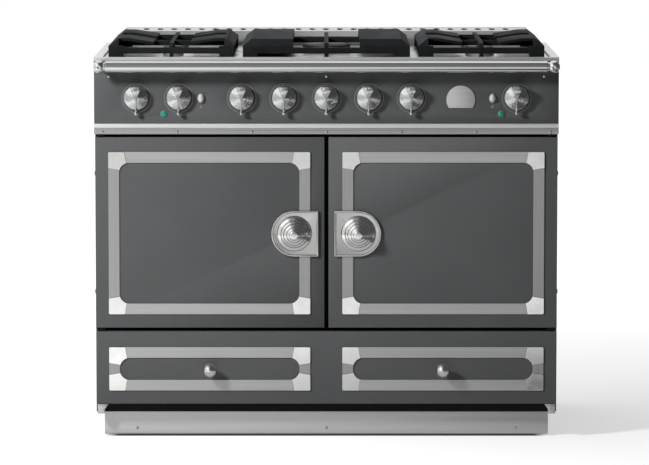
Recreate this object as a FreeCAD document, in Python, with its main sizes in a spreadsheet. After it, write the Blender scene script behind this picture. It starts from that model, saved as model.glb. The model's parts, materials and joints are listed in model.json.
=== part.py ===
import FreeCAD, Part
import math
import os
import Sketcher

# A free-standing range cooker with two ovens, a gas hob and a storage drawer.
# The frame is +X to the right, +Y to the rear and +Z up, in millimetres.
# The origin is on the floor, under the middle of the overall box.

os.makedirs("parts", exist_ok=True)
doc = FreeCAD.newDocument("range_cooker")
sheet = doc.addObject("Spreadsheet::Sheet", "Sizes")

SIZES = {
    # casing
    "body_width": 1100.0,
    "front_reach": 270.0,
    "back_reach": 335.0,
    "worktop_height": 912.0,
    "plinth_height": 60.0,
    "base_height": 25.0,
    "sheet_wall": 1.5,
    "front_frame_set_back": 44.0,
    "front_frame_wall": 4.0,
    "front_frame_stile": 28.0,
    "bore_fit": 0.05,
    "loose_fit": 0.3,
    "working_gap": 1.5,
    "overrun": 5.0,
    # levelling feet
    "foot_pad_radius": 22.0,
    "foot_pad_height": 9.0,
    "foot_stem_radius": 6.0,
    "foot_stem_height": 86.0,
    "foot_side_inset": 70.0,
    "foot_front_inset": 110.0,
    "foot_back_inset": 60.0,
    "foot_boss_radius": 14.0,
    "foot_boss_height": 18.0,
    # plinth
    "plinth_side_inset": 19.0,
    "plinth_set_back": 50.0,
    "plinth_wall": 1.5,
    "plinth_floor_gap": 4.0,
    "plinth_lip": 24.0,
    "plinth_roll_radius": 6.0,
    # corner brackets beside the plinth gap
    "bracket_outer_inset": 4.5,
    "bracket_leg_width": 16.0,
    "bracket_gusset_width": 10.0,
    "bracket_gusset_height": 14.0,
    "bracket_reach": 36.0,
    # drawer
    "drawer_front_height": 174.0,
    "drawer_front_depth": 22.0,
    "drawer_front_wall": 2.0,
    "front_side_inset": 2.0,
    "drawer_door_gap": 9.0,
    "drawer_box_height": 128.0,
    "drawer_box_bottom_gap": 15.0,
    "drawer_box_wall": 2.0,
    "drawer_box_length": 450.0,
    "runner_width": 14.0,
    "runner_rise": 46.0,
    "runner_wall": 2.0,
    "slide_bar_height": 10.0,
    "runner_arm_length": 40.0,
    # frames of strips on doors and drawer
    "strip_width": 26.0,
    "strip_thickness": 2.5,
    "corner_proud": 1.0,
    "corner_leg": 44.0,
    "corner_inner_radius": 23.5,
    "frame_inner_inset": 38.0,
    "frame_outer_inset": 33.0,
    "drawer_frame_rise": 32.0,
    "drawer_frame_height": 104.5,
    "door_frame_rise": 32.0,
    "door_frame_height": 387.5,
    # drawer knobs
    "drawer_knob_radius": 16.5,
    "drawer_knob_neck": 6.0,
    "drawer_knob_reach": 30.0,
    "drawer_knob_base_radius": 11.0,
    "drawer_knob_base_height": 4.0,
    # doors
    "door_height": 454.0,
    "door_depth": 40.0,
    "door_wall": 2.0,
    "door_centre_gap": 10.0,
    "door_trim_gap": 7.5,
    "door_liner_wall": 2.0,
    "door_liner_boss": 3.0,
    "door_liner_boss_inset": 20.0,
    "hinge_side_inset": 12.0,
    "hinge_front_inset": 12.0,
    "hinge_pin_radius": 4.0,
    "hinge_pin_length": 16.0,
    "hinge_plate": 3.0,
    "hinge_plate_gap": 2.5,
    "hinge_plate_width": 22.0,
    "hinge_boss": 24.0,
    "hinge_boss_height": 20.0,
    "hinge_bolt_radius": 5.0,
    "hinge_bolt_proud": 2.0,
    "hinge_bolt_inset": 86.0,
    # door plate and knob
    "plate_centre_offset": 76.0,
    "plate_radius": 54.5,
    "plate_rise": 225.0,
    "plate_flat": 57.0,
    "plate_thickness": 3.0,
    "plate_rim": 4.0,
    "plate_rim_proud": 2.0,
    "handle_radius": 42.0,
    "handle_reach": 46.0,
    "handle_stem_radius": 7.0,
    "handle_stem_length": 30.0,
    "latch_cam_length": 34.0,
    "latch_cam_width": 12.0,
    "latch_cam_depth": 5.0,
    # ovens
    "oven_side_gap": 51.5,
    "oven_height": 350.0,
    "oven_depth": 436.0,
    "oven_wall": 2.0,
    "oven_rise": 52.0,
    "ledge_width": 9.0,
    "ledge_height": 4.0,
    "ledge_spacing": 78.0,
    "ledge_front_inset": 18.0,
    "gasket_width": 9.0,
    "gasket_inset": 6.0,
    "gasket_height": 3.7,
    "rack_bar": 6.0,
    "rack_wire_radius": 2.0,
    "rack_side_gap": 2.0,
    "fan_space": 42.0,
    "fan_cover_wall": 2.0,
    "fan_cover_hole_radius": 60.0,
    "fan_cover_slot": 12.0,
    "fan_radius": 72.0,
    "fan_plate": 1.5,
    "fan_blade_height": 20.0,
    "fan_blade_wall": 1.5,
    "fan_hub_radius": 11.0,
    "fan_shaft_radius": 4.0,
    "fan_wall_gap": 6.0,
    "motor_radius": 32.0,
    "motor_length": 48.0,
    "element_radius": 92.0,
    "element_tube_radius": 3.5,
    "element_lead_radius": 2.6,
    "element_lead_spacing": 30.0,
    "element_wall_gap": 16.0,
    # control panel and moulding
    "panel_trim_height": 25.0,
    "panel_trim_flat": 12.0,
    "panel_trim_proud": 6.0,
    "panel_wall": 2.0,
    "knob_drop": 88.0,
    "knob_radius": 29.0,
    "knob_dome": 21.0,
    "knob_bar_reach": 36.0,
    "knob_bar_top": 27.0,
    "knob_bar_wide": 11.0,
    "knob_bar_waist": 5.0,
    "knob_pointer_drop": 37.0,
    "knob_pointer_radius": 4.5,
    "knob_pointer_stem": 4.0,
    "knob_shaft_radius": 4.0,
    "knob_shaft_length": 32.0,
    "knob_ring_radius": 35.0,
    "knob_ring_width": 1.5,
    "knob_ring_depth": 0.8,
    "button_width": 16.0,
    "button_length": 22.0,
    "button_reach": 10.0,
    "button_travel": 3.0,
    "button_stem_radius": 3.0,
    "lamp_drop": 125.0,
    "lamp_radius": 8.0,
    "lamp_bezel": 1.5,
    "lamp_stem_radius": 5.0,
    "badge_drop": 92.0,
    "badge_radius": 34.0,
    "badge_flat": 19.6,
    "badge_thickness": 2.0,
    "screw_radius": 3.2,
    "screw_head": 1.6,
    "trim_screw_inset": 20.0,
    "panel_screw_inset": 35.0,
    "panel_screw_drop": 37.0,
    "plinth_screw_inset": 78.0,
    # towel rail
    "rail_drop": 20.0,
    "rail_radius": 13.5,
    "rail_wall": 2.0,
    "rail_ball_radius": 15.0,
    "rail_collar_radius": 11.0,
    "rail_end_gap": 30.0,
    "rail_reach": 50.0,
    "rail_post_radius": 8.0,
    "rail_flange_radius": 10.5,
    "rail_flange_height": 3.0,
    # worktop and burners
    "worktop_edge": 9.0,
    "worktop_proud": 8.0,
    "worktop_sheet": 2.0,
    "worktop_rim": 20.0,
    "pan_drop": 5.0,
    "flue_set_back": 5.0,
    "flue_depth": 34.0,
    "flue_height": 31.0,
    "flue_rise": 8.0,
    "flue_wall": 2.0,
    "flue_side_inset": 50.0,
    "flue_hole_radius": 8.0,
    "burner_front_inset": 123.0,
    "burner_back_inset": 117.0,
    "burner_small_radius": 26.0,
    "burner_middle_radius": 36.0,
    "burner_large_radius": 46.0,
    "burner_wok_radius": 62.0,
    "burner_crown_height": 16.0,
    "burner_cap_height": 5.0,
    "burner_stem_height": 22.0,
    # grates
    "grate_gap": 20.0,
    "grate_side_inset": 32.5,
    "grate_side_width": 299.0,
    "grate_depth": 480.0,
    "grate_set_back": 50.0,
    "grate_height": 36.0,
    "grate_bar": 10.0,
    "grate_bar_depth": 12.0,
    "grate_foot_height": 11.0,
    "grate_corner_width": 36.0,
    "grate_end_bar_height": 14.0,
    "grate_shoulder_width": 20.0,
    "grate_shoulder_height": 16.0,
    "grate_shoulder_wall": 4.0,
    "grate_wing_rise": 9.0,
    "grate_wing_width": 46.0,
    "grate_wing_gap": 44.0,
    "grate_wing_depth": 150.0,
    "grate_wing_wall": 7.0,
    "grate_opening": 158.0,
    # gas and electrics
    "manifold_radius": 11.0,
    "manifold_set_back": 64.0,
    "valve_width": 30.0,
    "valve_height": 34.0,
    "valve_depth": 36.0,
    "valve_nipple_radius": 6.0,
    "gas_pipe_side_inset": 60.0,
    "inlet_radius": 10.5,
    "inlet_length": 18.0,
    "rear_hole_gap": 14.0,
    "pipe_bracket_width": 20.0,
    "control_block_width": 40.0,
    "control_block_depth": 34.0,
    "switch_block_wall": 5.0,
    "switch_block_depth": 26.0,
    "terminal_width": 90.0,
    "terminal_height": 60.0,
    "terminal_depth": 38.0,
    "terminal_wall": 3.0,
    "terminal_drop": 212.0,
    "cable_bore_radius": 10.0,
    "vent_length": 90.0,
    "vent_height": 8.0,
    "vent_pitch": 24.0,
    "vent_drop": 172.0,
}

for row, (alias, value) in enumerate(SIZES.items(), start=1):
    sheet.set(f"A{row}", alias)
    sheet.set(f"B{row}", str(value))
    sheet.setAlias(f"B{row}", alias)
doc.recompute()


class Size:
    """A length: its number, and the formula that gives it from the sheet."""

    def __init__(self, value, formula):
        self.value = float(value)
        self.formula = formula

    def __add__(self, other):
        other = as_size(other)
        return Size(self.value + other.value, f"({self.formula} + {other.formula})")

    def __sub__(self, other):
        other = as_size(other)
        return Size(self.value - other.value, f"({self.formula} - {other.formula})")

    def __mul__(self, other):
        other = as_size(other)
        return Size(self.value * other.value, f"({self.formula} * {other.formula})")

    def __truediv__(self, other):
        other = as_size(other)
        return Size(self.value / other.value, f"({self.formula} / {other.formula})")

    def __neg__(self):
        return Size(-self.value, f"(-1 * {self.formula})")

    def __radd__(self, other):
        return as_size(other) + self

    def __rmul__(self, other):
        return as_size(other) * self


def as_size(number):
    return number if isinstance(number, Size) else Size(number, repr(float(number)))


class SheetSizes:
    """Gives each named size of the sheet as an attribute."""

    def __getattr__(self, name):
        return Size(SIZES[name], "Sizes." + name)


s = SheetSizes()
ZERO = as_size(0)
UP = FreeCAD.Rotation()
DOWN = FreeCAD.Rotation(FreeCAD.Vector(1, 0, 0), 180)
FORWARD = FreeCAD.Rotation(FreeCAD.Vector(1, 0, 0), 90)
BACKWARD = FreeCAD.Rotation(FreeCAD.Vector(1, 0, 0), -90)
RIGHTWARD = FreeCAD.Rotation(FreeCAD.Vector(0, 1, 0), 90)
LEFTWARD = FreeCAD.Rotation(FreeCAD.Vector(0, 1, 0), -90)
SIDES = (("left", -1), ("right", 1))
nodes = []


def bind(made, path, size):
    size = as_size(size)
    if "Sizes." in size.formula:
        made.setExpression(path, size.formula)


def place(made, at, rotation=UP):
    made.Placement.Rotation = rotation
    for axis, size in zip("xyz", at):
        bind(made, ".Placement.Base." + axis, size)
    return made


def box(x, y, z):
    """A block between the low and high places given for each axis."""
    made = doc.addObject("Part::Box", "block")
    for side, (low, high) in zip(("Length", "Width", "Height"), (x, y, z)):
        bind(made, side, as_size(high) - low)
    return place(made, (x[0], y[0], z[0]))


def rod(radius, length, at, rotation=UP):
    """A round bar that starts at a place and runs the way of its rotation."""
    made = doc.addObject("Part::Cylinder", "rod")
    bind(made, "Radius", radius)
    bind(made, "Height", length)
    return place(made, at, rotation)


def ball(radius, at, rotation=UP):
    made = doc.addObject("Part::Sphere", "ball")
    bind(made, "Radius", radius)
    return place(made, at, rotation)


def fused(pieces):
    if len(pieces) == 1:
        return pieces[0]
    made = doc.addObject("Part::MultiFuse", "fused")
    made.Shapes = pieces
    return made


def group(pieces):
    """Like pieces that stay separate solids."""
    made = doc.addObject("Part::Compound", "group")
    made.Links = pieces
    return made


def cut(base, tools):
    made = doc.addObject("Part::Cut", "cut")
    made.Base = base
    made.Tool = tools[0] if len(tools) == 1 else group(tools)
    return made


def arc_point(a, b, middle, radius):
    """A point of an outline from which an arc runs through its middle to the next point."""
    return (a, b, middle, radius)


def draw(sketch, outline):
    """Draws a closed outline, with each point tied to the sheet."""
    corners = [FreeCAD.Vector(as_size(point[0]).value, as_size(point[1]).value, 0) for point in outline]
    starts, ends = [], []
    for index, point in enumerate(outline):
        first, last = corners[index], corners[(index + 1) % len(corners)]
        if len(point) == 2:
            sketch.addGeometry(Part.LineSegment(first, last), False)
            starts.append(1)
            ends.append(2)
            continue
        middle = FreeCAD.Vector(as_size(point[2][0]).value, as_size(point[2][1]).value, 0)
        turn = (middle - first).cross(last - middle).z
        arc = Part.Arc(first, middle, last) if turn > 0 else Part.Arc(last, middle, first)
        sketch.addGeometry(arc, False)
        starts.append(1 if turn > 0 else 2)
        ends.append(2 if turn > 0 else 1)
    for index, point in enumerate(outline):
        following = (index + 1) % len(outline)
        sketch.addConstraint(
            Sketcher.Constraint("Coincident", index, ends[index], following, starts[following])
        )
    for index, point in enumerate(outline):
        for kind, axis, size in (("DistanceX", -2, point[0]), ("DistanceY", -1, point[1])):
            size = as_size(size)
            if size.value == 0:
                sketch.addConstraint(Sketcher.Constraint("PointOnObject", index, starts[index], axis))
                continue
            tied = sketch.addConstraint(
                Sketcher.Constraint(kind, -1, 1, index, starts[index], size.value)
            )
            bind(sketch, f"Constraints[{tied}]", size)
        if len(point) > 2:
            tied = sketch.addConstraint(Sketcher.Constraint("Radius", index, point[3].value))
            bind(sketch, f"Constraints[{tied}]", point[3])


def sketch_on(body, role, outline, start):
    sketch = body.newObject("Sketcher::SketchObject", "outline")
    plane = [feature for feature in body.Origin.OriginFeatures if feature.Role == role][0]
    sketch.AttachmentSupport = [(plane, "")]
    sketch.MapMode = "FlatFace"
    bind(sketch, ".AttachmentOffset.Base.z", start)
    draw(sketch, outline)
    return sketch


def padded(role, outline, start, depth):
    """A flat outline given a thickness: XZ_Plane pads towards the front from its start."""
    body = doc.addObject("PartDesign::Body", "padded")
    sketch = sketch_on(body, role, outline, start)
    pad = body.newObject("PartDesign::Pad", "pad")
    pad.Profile = sketch
    bind(pad, "Length", depth)
    return body


def turned(profile, at, rotation=UP):
    """A solid of revolution from (radius, height) points, along the way of its rotation."""
    body = doc.addObject("PartDesign::Body", "turned")
    sketch = sketch_on(body, "XZ_Plane", profile, ZERO)
    turn = body.newObject("PartDesign::Revolution", "turn")
    turn.Profile = sketch
    turn.ReferenceAxis = (sketch, ["V_Axis"])
    turn.Angle = 360
    return place(body, at, rotation)


def node(label, made):
    """Names a finished sub-part, which is written to a file of that name."""
    made.Label = label
    nodes.append(made)
    return made


# Places that several pieces share, worked out from the sizes.
half_width = s.body_width / 2
front_y = -s.front_reach
back_y = s.back_reach
frame_y = -(s.front_reach - s.front_frame_set_back)
frame_back_y = frame_y + s.front_frame_wall
inner_x = half_width - s.sheet_wall
base_top = s.plinth_height + s.base_height
drawer_bottom = base_top
drawer_top = drawer_bottom + s.drawer_front_height
door_bottom = drawer_top + s.drawer_door_gap
door_top = door_bottom + s.door_height
trim_bottom = door_top + s.door_trim_gap
panel_bottom = trim_bottom + s.panel_trim_height
edge_bottom = s.worktop_height - s.worktop_edge
oven_bottom = door_bottom + s.oven_rise
oven_top = oven_bottom + s.oven_height
oven_back_y = frame_back_y + s.oven_depth
door_outer_x = half_width - s.front_side_inset
door_inner_x = s.door_centre_gap / 2
oven_x = (door_inner_x + door_outer_x) / 2
oven_half = (door_outer_x - door_inner_x) / 2 - s.oven_side_gap
knob_z = edge_bottom - s.knob_drop
rail_z = s.worktop_height - s.rail_drop
grate_side_far = half_width - s.grate_side_inset
grate_side_near = grate_side_far - s.grate_side_width
burner_side_x = (grate_side_near + grate_side_far) / 2
rear_inner_y = back_y - s.sheet_wall


def foot_places():
    x = half_width - s.foot_side_inset
    front = front_y + s.foot_front_inset
    back = back_y - s.foot_back_inset
    return [(side * x, y) for _, side in SIDES for y in (front, back)]


def span(side, near, far):
    """The low and high x of a thing between two distances from the middle, on one side."""
    return (side * near, side * far) if side > 0 else (side * far, side * near)


# Base frame: a folded tray with a threaded boss over each levelling foot.
def base_frame():
    outer = box((-inner_x, inner_x), (frame_y, rear_inner_y), (s.plinth_height, base_top))
    inner = box(
        (-inner_x + s.panel_wall, inner_x - s.panel_wall),
        (frame_y + s.panel_wall, rear_inner_y - s.panel_wall),
        (s.plinth_height + s.panel_wall, base_top + s.overrun),
    )
    bosses = [
        rod(s.foot_boss_radius, s.foot_boss_height, (x, y, s.plinth_height))
        for x, y in foot_places()
    ]
    bores = [
        rod(s.foot_stem_radius + s.bore_fit, s.base_height * 2, (x, y, s.plinth_height - s.overrun))
        for x, y in foot_places()
    ]
    return cut(fused([cut(outer, [inner])] + bosses), bores)


def levelling_foot(x, y):
    pad_top = s.foot_pad_height
    stem_top = pad_top + s.foot_stem_height
    profile = [
        (0, 0),
        (s.foot_pad_radius, 0),
        (s.foot_pad_radius, pad_top * 0.6),
        (s.foot_stem_radius * 1.5, pad_top),
        (s.foot_stem_radius, pad_top),
        (s.foot_stem_radius, stem_top),
        (0, stem_top),
    ]
    return turned(profile, (x, y, 0))


# Side panels and rear panel, of folded sheet, with louvre slots at the back.
def side_panel(side):
    return box(
        span(side, inner_x, half_width), (frame_y, rear_inner_y), (s.plinth_height, edge_bottom)
    )


gas_pipe_x = inner_x - s.gas_pipe_side_inset
terminal_x = -(inner_x - s.gas_pipe_side_inset - s.terminal_width / 2)
terminal_low = s.worktop_height - s.terminal_drop
terminal_z = terminal_low + s.terminal_height / 2


def rear_panel():
    plate = box(
        (-half_width, half_width), (rear_inner_y, back_y), (s.plinth_height, edge_bottom)
    )
    through = s.sheet_wall + 2 * s.overrun
    start = rear_inner_y - s.overrun
    holes = [
        rod(s.inlet_radius + s.rear_hole_gap, through, (gas_pipe_x, start, knob_z), BACKWARD),
        rod(s.cable_bore_radius + s.rear_hole_gap, through, (terminal_x, start, terminal_z), BACKWARD),
    ]
    slots = []
    for row in range(5):
        low = s.worktop_height - s.vent_drop + row * s.vent_pitch
        for column in (-1.5, -0.5, 0.5, 1.5):
            middle = column * s.vent_length * 1.6
            slots.append(
                box(
                    (middle - s.vent_length / 2, middle + s.vent_length / 2),
                    (start, back_y + s.overrun),
                    (low, low + s.vent_height),
                )
            )
    return cut(plate, holes + slots)


# Front frame: the plate behind the doors, open to both ovens and the drawer.
opening_x = inner_x - s.front_frame_stile
opening_low = drawer_bottom + 2 * s.front_frame_wall
opening_high = drawer_top - 2 * s.front_frame_wall


def front_frame():
    plate = box((-inner_x, inner_x), (frame_y, frame_back_y), (base_top, panel_bottom))
    through = (frame_y - s.overrun, frame_back_y + s.overrun)
    mouth = oven_half - s.oven_wall
    openings = [box((-opening_x, opening_x), through, (opening_low, opening_high))]
    for _, side in SIDES:
        openings.append(
            box(
                (side * oven_x - mouth, side * oven_x + mouth),
                through,
                (oven_bottom + s.oven_wall, oven_top - s.oven_wall),
            )
        )
    return cut(plate, openings)


# Plinth: a sheet with a flange under the base and a rolled lower edge.
def plinth():
    front = -(s.front_reach - s.plinth_set_back)
    low = s.plinth_floor_gap
    high = s.plinth_height
    wall = s.plinth_wall
    roll = s.plinth_roll_radius
    inner_roll = roll - wall
    diagonal = 1 - math.sqrt(0.5)
    outline = [
        (front, high),
        arc_point(front, low + roll, (front + roll * diagonal, low + roll * diagonal), roll),
        (front + roll, low),
        (front + s.plinth_lip, low),
        (front + s.plinth_lip, low + wall),
        arc_point(
            front + roll,
            low + wall,
            (front + wall + inner_roll * diagonal, low + wall + inner_roll * diagonal),
            inner_roll,
        ),
        (front + wall, low + roll),
        (front + wall, high - wall),
        (front + s.plinth_lip, high - wall),
        (front + s.plinth_lip, high),
    ]
    half = half_width - s.plinth_side_inset
    return padded("YZ_Plane", outline, -half, 2 * half)


def corner_bracket(side):
    outer = half_width - s.bracket_outer_inset
    leg = outer - s.bracket_leg_width
    top = base_top - s.working_gap
    outline = [
        (side * outer, s.plinth_height),
        (side * outer, top),
        (side * (leg - s.bracket_gusset_width), top),
        (side * leg, top - s.bracket_gusset_height),
        (side * leg, s.plinth_height),
    ]
    return padded("XZ_Plane", outline, -frame_y, s.bracket_reach)


# Worktop: a pressed tray with a shallow pan, holed for the burner stems, and a flue rail at
# its back with a sloping, holed top that lets out the warm air of the ovens.
grate_front_y = front_y - s.worktop_proud + s.grate_set_back
grate_back_y = grate_front_y + s.grate_depth
burner_front_y = grate_front_y + s.burner_front_inset
burner_back_y = grate_back_y - s.burner_back_inset
burner_centre_y = (grate_front_y + grate_back_y) / 2
BURNERS = (
    (s.burner_small_radius, -burner_side_x, burner_front_y),
    (s.burner_middle_radius, -burner_side_x, burner_back_y),
    (s.burner_wok_radius, ZERO, burner_centre_y),
    (s.burner_middle_radius, burner_side_x, burner_front_y),
    (s.burner_large_radius, burner_side_x, burner_back_y),
)
stem_share = 0.55
pan_floor = s.worktop_height - s.pan_drop
flue_holes_aside = 13
flue_pitch_share = 0.069


def flue_rail():
    wall = s.flue_wall
    half = half_width - s.flue_side_inset
    back = back_y - s.flue_set_back
    front = back - s.flue_depth
    low = s.worktop_height + s.flue_height
    high = low + s.flue_rise
    outline = [(front, pan_floor), (front, low), (back, high), (back, pan_floor)]
    hollow = [
        (front + wall, pan_floor - s.overrun),
        (front + wall, low - wall),
        (back - wall, high - wall),
        (back - wall, pan_floor - s.overrun),
    ]
    block = padded("YZ_Plane", outline, -half, 2 * half)
    inside = padded("YZ_Plane", hollow, -half + wall, 2 * (half - wall))
    middle = (front + back) / 2
    pitch = half * flue_pitch_share
    holes = [
        rod(s.flue_hole_radius, s.flue_height, (step * pitch, middle, low - s.flue_rise))
        for step in range(-flue_holes_aside, flue_holes_aside + 1)
    ]
    return cut(block, [inside] + holes)


def worktop():
    low_y = front_y - s.worktop_proud
    inner = half_width - s.worktop_rim
    outer = box((-half_width, half_width), (low_y, back_y), (edge_bottom, s.worktop_height))
    pan = box(
        (-inner, inner),
        (low_y + s.worktop_rim, back_y - s.worktop_rim),
        (pan_floor, s.worktop_height + s.overrun),
    )
    below = box(
        (-inner, inner),
        (low_y + s.worktop_rim, back_y - s.worktop_rim),
        (edge_bottom - s.overrun, pan_floor - s.worktop_sheet),
    )
    holes = [
        rod(radius * stem_share + s.loose_fit, s.worktop_edge * 2, (x, y, edge_bottom - s.overrun))
        for radius, x, y in BURNERS
    ]
    return fused([cut(outer, [pan, below] + holes), flue_rail()])


# Burners: an aluminium crown with its stem below the pan, and an iron cap on top.
def burner_crown(radius, x, y):
    stem = radius * stem_share
    high = s.burner_crown_height
    profile = [
        (0, -s.burner_stem_height),
        (stem, -s.burner_stem_height),
        (stem, 0),
        (radius, 0),
        (radius, high * 0.3),
        (radius * 0.86, high * 0.45),
        (radius * 0.86, high),
        (0, high),
    ]
    return turned(profile, (x, y, pan_floor))


def burner_cap(radius, x, y):
    high = s.burner_cap_height
    profile = [
        (0, 0),
        (radius * 0.94, 0),
        (radius * 0.94, high * 0.4),
        (radius * 0.8, high * 0.9),
        (radius * 0.4, high),
        (0, high),
    ]
    return turned(profile, (x, y, pan_floor + s.burner_crown_height))


node("base_frame", base_frame())
node("levelling_feet", group([levelling_foot(x, y) for x, y in foot_places()]))
for name, side in SIDES:
    node("side_panel_" + name, side_panel(side))
node("rear_panel", rear_panel())
node("front_frame", front_frame())
node("plinth", plinth())
node("corner_brackets", group([corner_bracket(side) for _, side in SIDES]))
node("worktop", worktop())
node("burner_crowns", group([burner_crown(*burner) for burner in BURNERS]))
node("burner_caps", group([burner_cap(*burner) for burner in BURNERS]))


# Oven liners: enamelled boxes seated on the front frame, with pressed rack ledges.
oven_middle_z = (oven_bottom + oven_top) / 2
oven_inner_half = oven_half - s.oven_wall
oven_rear_wall_y = oven_back_y - s.oven_wall
fan_cover_y = oven_rear_wall_y - s.fan_space
ledge_levels = (1, 2, 3)
rack_levels = (1, 3)


def ledge_top(level):
    return oven_bottom + s.oven_wall + level * s.ledge_spacing


def element_leads(x):
    """The two places where the ring element's ends go through the rear wall."""
    half = s.element_lead_spacing / 2
    drop = math.sqrt(s.element_radius.value ** 2 - half.value ** 2) / s.element_radius.value
    return [(x + turn * half, oven_middle_z - s.element_radius * drop) for turn in (-1, 1)]


def oven_liner(side):
    x = side * oven_x
    outer = box((x - oven_half, x + oven_half), (frame_back_y, oven_back_y), (oven_bottom, oven_top))
    inner = box(
        (x - oven_inner_half, x + oven_inner_half),
        (frame_back_y - s.overrun, oven_rear_wall_y),
        (oven_bottom + s.oven_wall, oven_top - s.oven_wall),
    )
    back = oven_rear_wall_y - s.overrun
    through = s.oven_wall + 2 * s.overrun
    holes = [rod(s.fan_shaft_radius + s.loose_fit, through, (x, back, oven_middle_z), BACKWARD)]
    for lead_x, lead_z in element_leads(x):
        holes.append(rod(s.element_lead_radius + s.loose_fit, through, (lead_x, back, lead_z), BACKWARD))
    ledges = []
    for level in ledge_levels:
        for turn in (-1, 1):
            wall = x + turn * oven_inner_half
            edge = wall - turn * s.ledge_width
            low, high = (wall, edge) if turn < 0 else (edge, wall)
            ledges.append(
                box(
                    (low, high),
                    (frame_back_y + s.ledge_front_inset, fan_cover_y - s.ledge_width),
                    (ledge_top(level) - s.ledge_height, ledge_top(level)),
                )
            )
    return fused([cut(outer, [inner] + holes)] + ledges)


def oven_gasket(side):
    """The braided seal around an oven mouth, on the front of the front frame."""
    x = side * oven_x
    near = s.gasket_inset
    far = near + s.gasket_width
    through = (frame_y - s.gasket_height, frame_y)
    outer = box(
        (x - oven_half - far, x + oven_half + far), through, (oven_bottom - far, oven_top + far)
    )
    inner = box(
        (x - oven_half - near, x + oven_half + near),
        (frame_y - s.gasket_height - s.overrun, frame_y + s.overrun),
        (oven_bottom - near, oven_top + near),
    )
    return cut(outer, [inner])


def oven_rack(side, level):
    x = side * oven_x
    half = oven_inner_half - s.rack_side_gap
    front = frame_back_y + s.ledge_front_inset
    back = fan_cover_y - s.ledge_width
    low = ledge_top(level)
    high = low + s.rack_bar
    bar = s.rack_bar
    pieces = [
        box((x - half, x + half), (front, front + bar), (low, high)),
        box((x - half, x + half), (back - bar, back), (low, high)),
        box((x - half, x - half + bar), (front, back), (low, high)),
        box((x + half - bar, x + half), (front, back), (low, high)),
    ]
    wire_count = 13
    for index in range(1, wire_count + 1):
        across = x - half + 2 * half * (index / (wire_count + 1))
        start = (across, front + bar / 2, low + bar / 2)
        pieces.append(rod(s.rack_wire_radius, back - front - bar, start, BACKWARD))
    return fused(pieces)


# Fans: a cover plate, a wheel on its shaft, a ring element and a motor behind the wall.
def fan_cover(side):
    x = side * oven_x
    half = oven_inner_half - s.loose_fit
    plate = box(
        (x - half, x + half),
        (fan_cover_y, fan_cover_y + s.fan_cover_wall),
        (oven_bottom + s.oven_wall + s.loose_fit, oven_top - s.oven_wall - s.loose_fit),
    )
    through = s.fan_cover_wall + 2 * s.overrun
    start = fan_cover_y - s.overrun
    hole = s.fan_cover_slot / 2
    holes = [rod(hole, through, (x, start, oven_middle_z), BACKWARD)]
    for radius_share, count in ((0.5, 6), (1.0, 12)):
        for index in range(count):
            turn = 2 * math.pi * index / count
            radius = s.fan_cover_hole_radius * radius_share
            at = (x + radius * math.cos(turn), start, oven_middle_z + radius * math.sin(turn))
            holes.append(rod(hole, through, at, BACKWARD))
    return cut(plate, holes)


fan_plate_y = oven_rear_wall_y - s.fan_wall_gap


def fan(side):
    """A bladed wheel whose shaft runs back through the oven wall into the motor."""
    x = side * oven_x
    at = (x, fan_plate_y, oven_middle_z)
    shaft_end = s.fan_wall_gap + s.oven_wall + s.motor_length / 2
    hub = s.fan_blade_height
    profile = [
        (0, -shaft_end),
        (s.fan_shaft_radius, -shaft_end),
        (s.fan_shaft_radius, 0),
        (s.fan_radius, 0),
        (s.fan_radius, s.fan_plate),
        (s.fan_hub_radius, s.fan_plate),
        (s.fan_hub_radius, hub),
        (0, hub),
    ]
    pieces = [turned(profile, at, FORWARD)]
    for index in range(10):
        blade = box(
            (s.fan_radius * 0.55, s.fan_radius), (-s.fan_blade_height, 0),
            (-s.fan_blade_wall / 2, s.fan_blade_wall / 2),
        )
        turn = FreeCAD.Rotation(FreeCAD.Vector(0, 1, 0), 36 * index)
        holder = doc.addObject("Part::Compound", "blade")
        holder.Links = [blade]
        pieces.append(place(holder, at, turn))
    return fused(pieces)


def fan_motor(side):
    x = side * oven_x
    body = rod(s.motor_radius, s.motor_length, (x, oven_back_y, oven_middle_z), BACKWARD)
    bore = rod(
        s.fan_shaft_radius + s.bore_fit,
        s.motor_length / 2 + s.loose_fit + s.overrun,
        (x, oven_back_y - s.overrun, oven_middle_z),
        BACKWARD,
    )
    return cut(body, [bore])


def ring_element(side):
    x = side * oven_x
    y = oven_rear_wall_y - s.element_wall_gap
    ring = doc.addObject("Part::Torus", "ring")
    bind(ring, "Radius1", s.element_radius)
    bind(ring, "Radius2", s.element_tube_radius)
    place(ring, (x, y, oven_middle_z), FORWARD)
    length = s.element_wall_gap + s.oven_wall + 2 * s.overrun
    leads = [
        rod(s.element_lead_radius, length, (lead_x, y, lead_z), BACKWARD)
        for lead_x, lead_z in element_leads(x)
    ]
    return fused([ring] + leads)


for name, side in SIDES:
    node("oven_liner_" + name, oven_liner(side))
node("oven_gaskets", group([oven_gasket(side) for _, side in SIDES]))
node("oven_racks", group([oven_rack(side, level) for _, side in SIDES for level in rack_levels]))
node("fan_covers", group([fan_cover(side) for _, side in SIDES]))
for name, side in SIDES:
    node("fan_" + name, fan(side))
node("fan_motors", group([fan_motor(side) for _, side in SIDES]))
node("oven_elements", group([ring_element(side) for _, side in SIDES]))


# Frames of four strips and four corner pieces, laid on the doors and the drawer front.
corner_reach = s.strip_width + s.corner_inner_radius
corner_middle = corner_reach - s.corner_inner_radius * math.sqrt(0.5)


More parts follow.
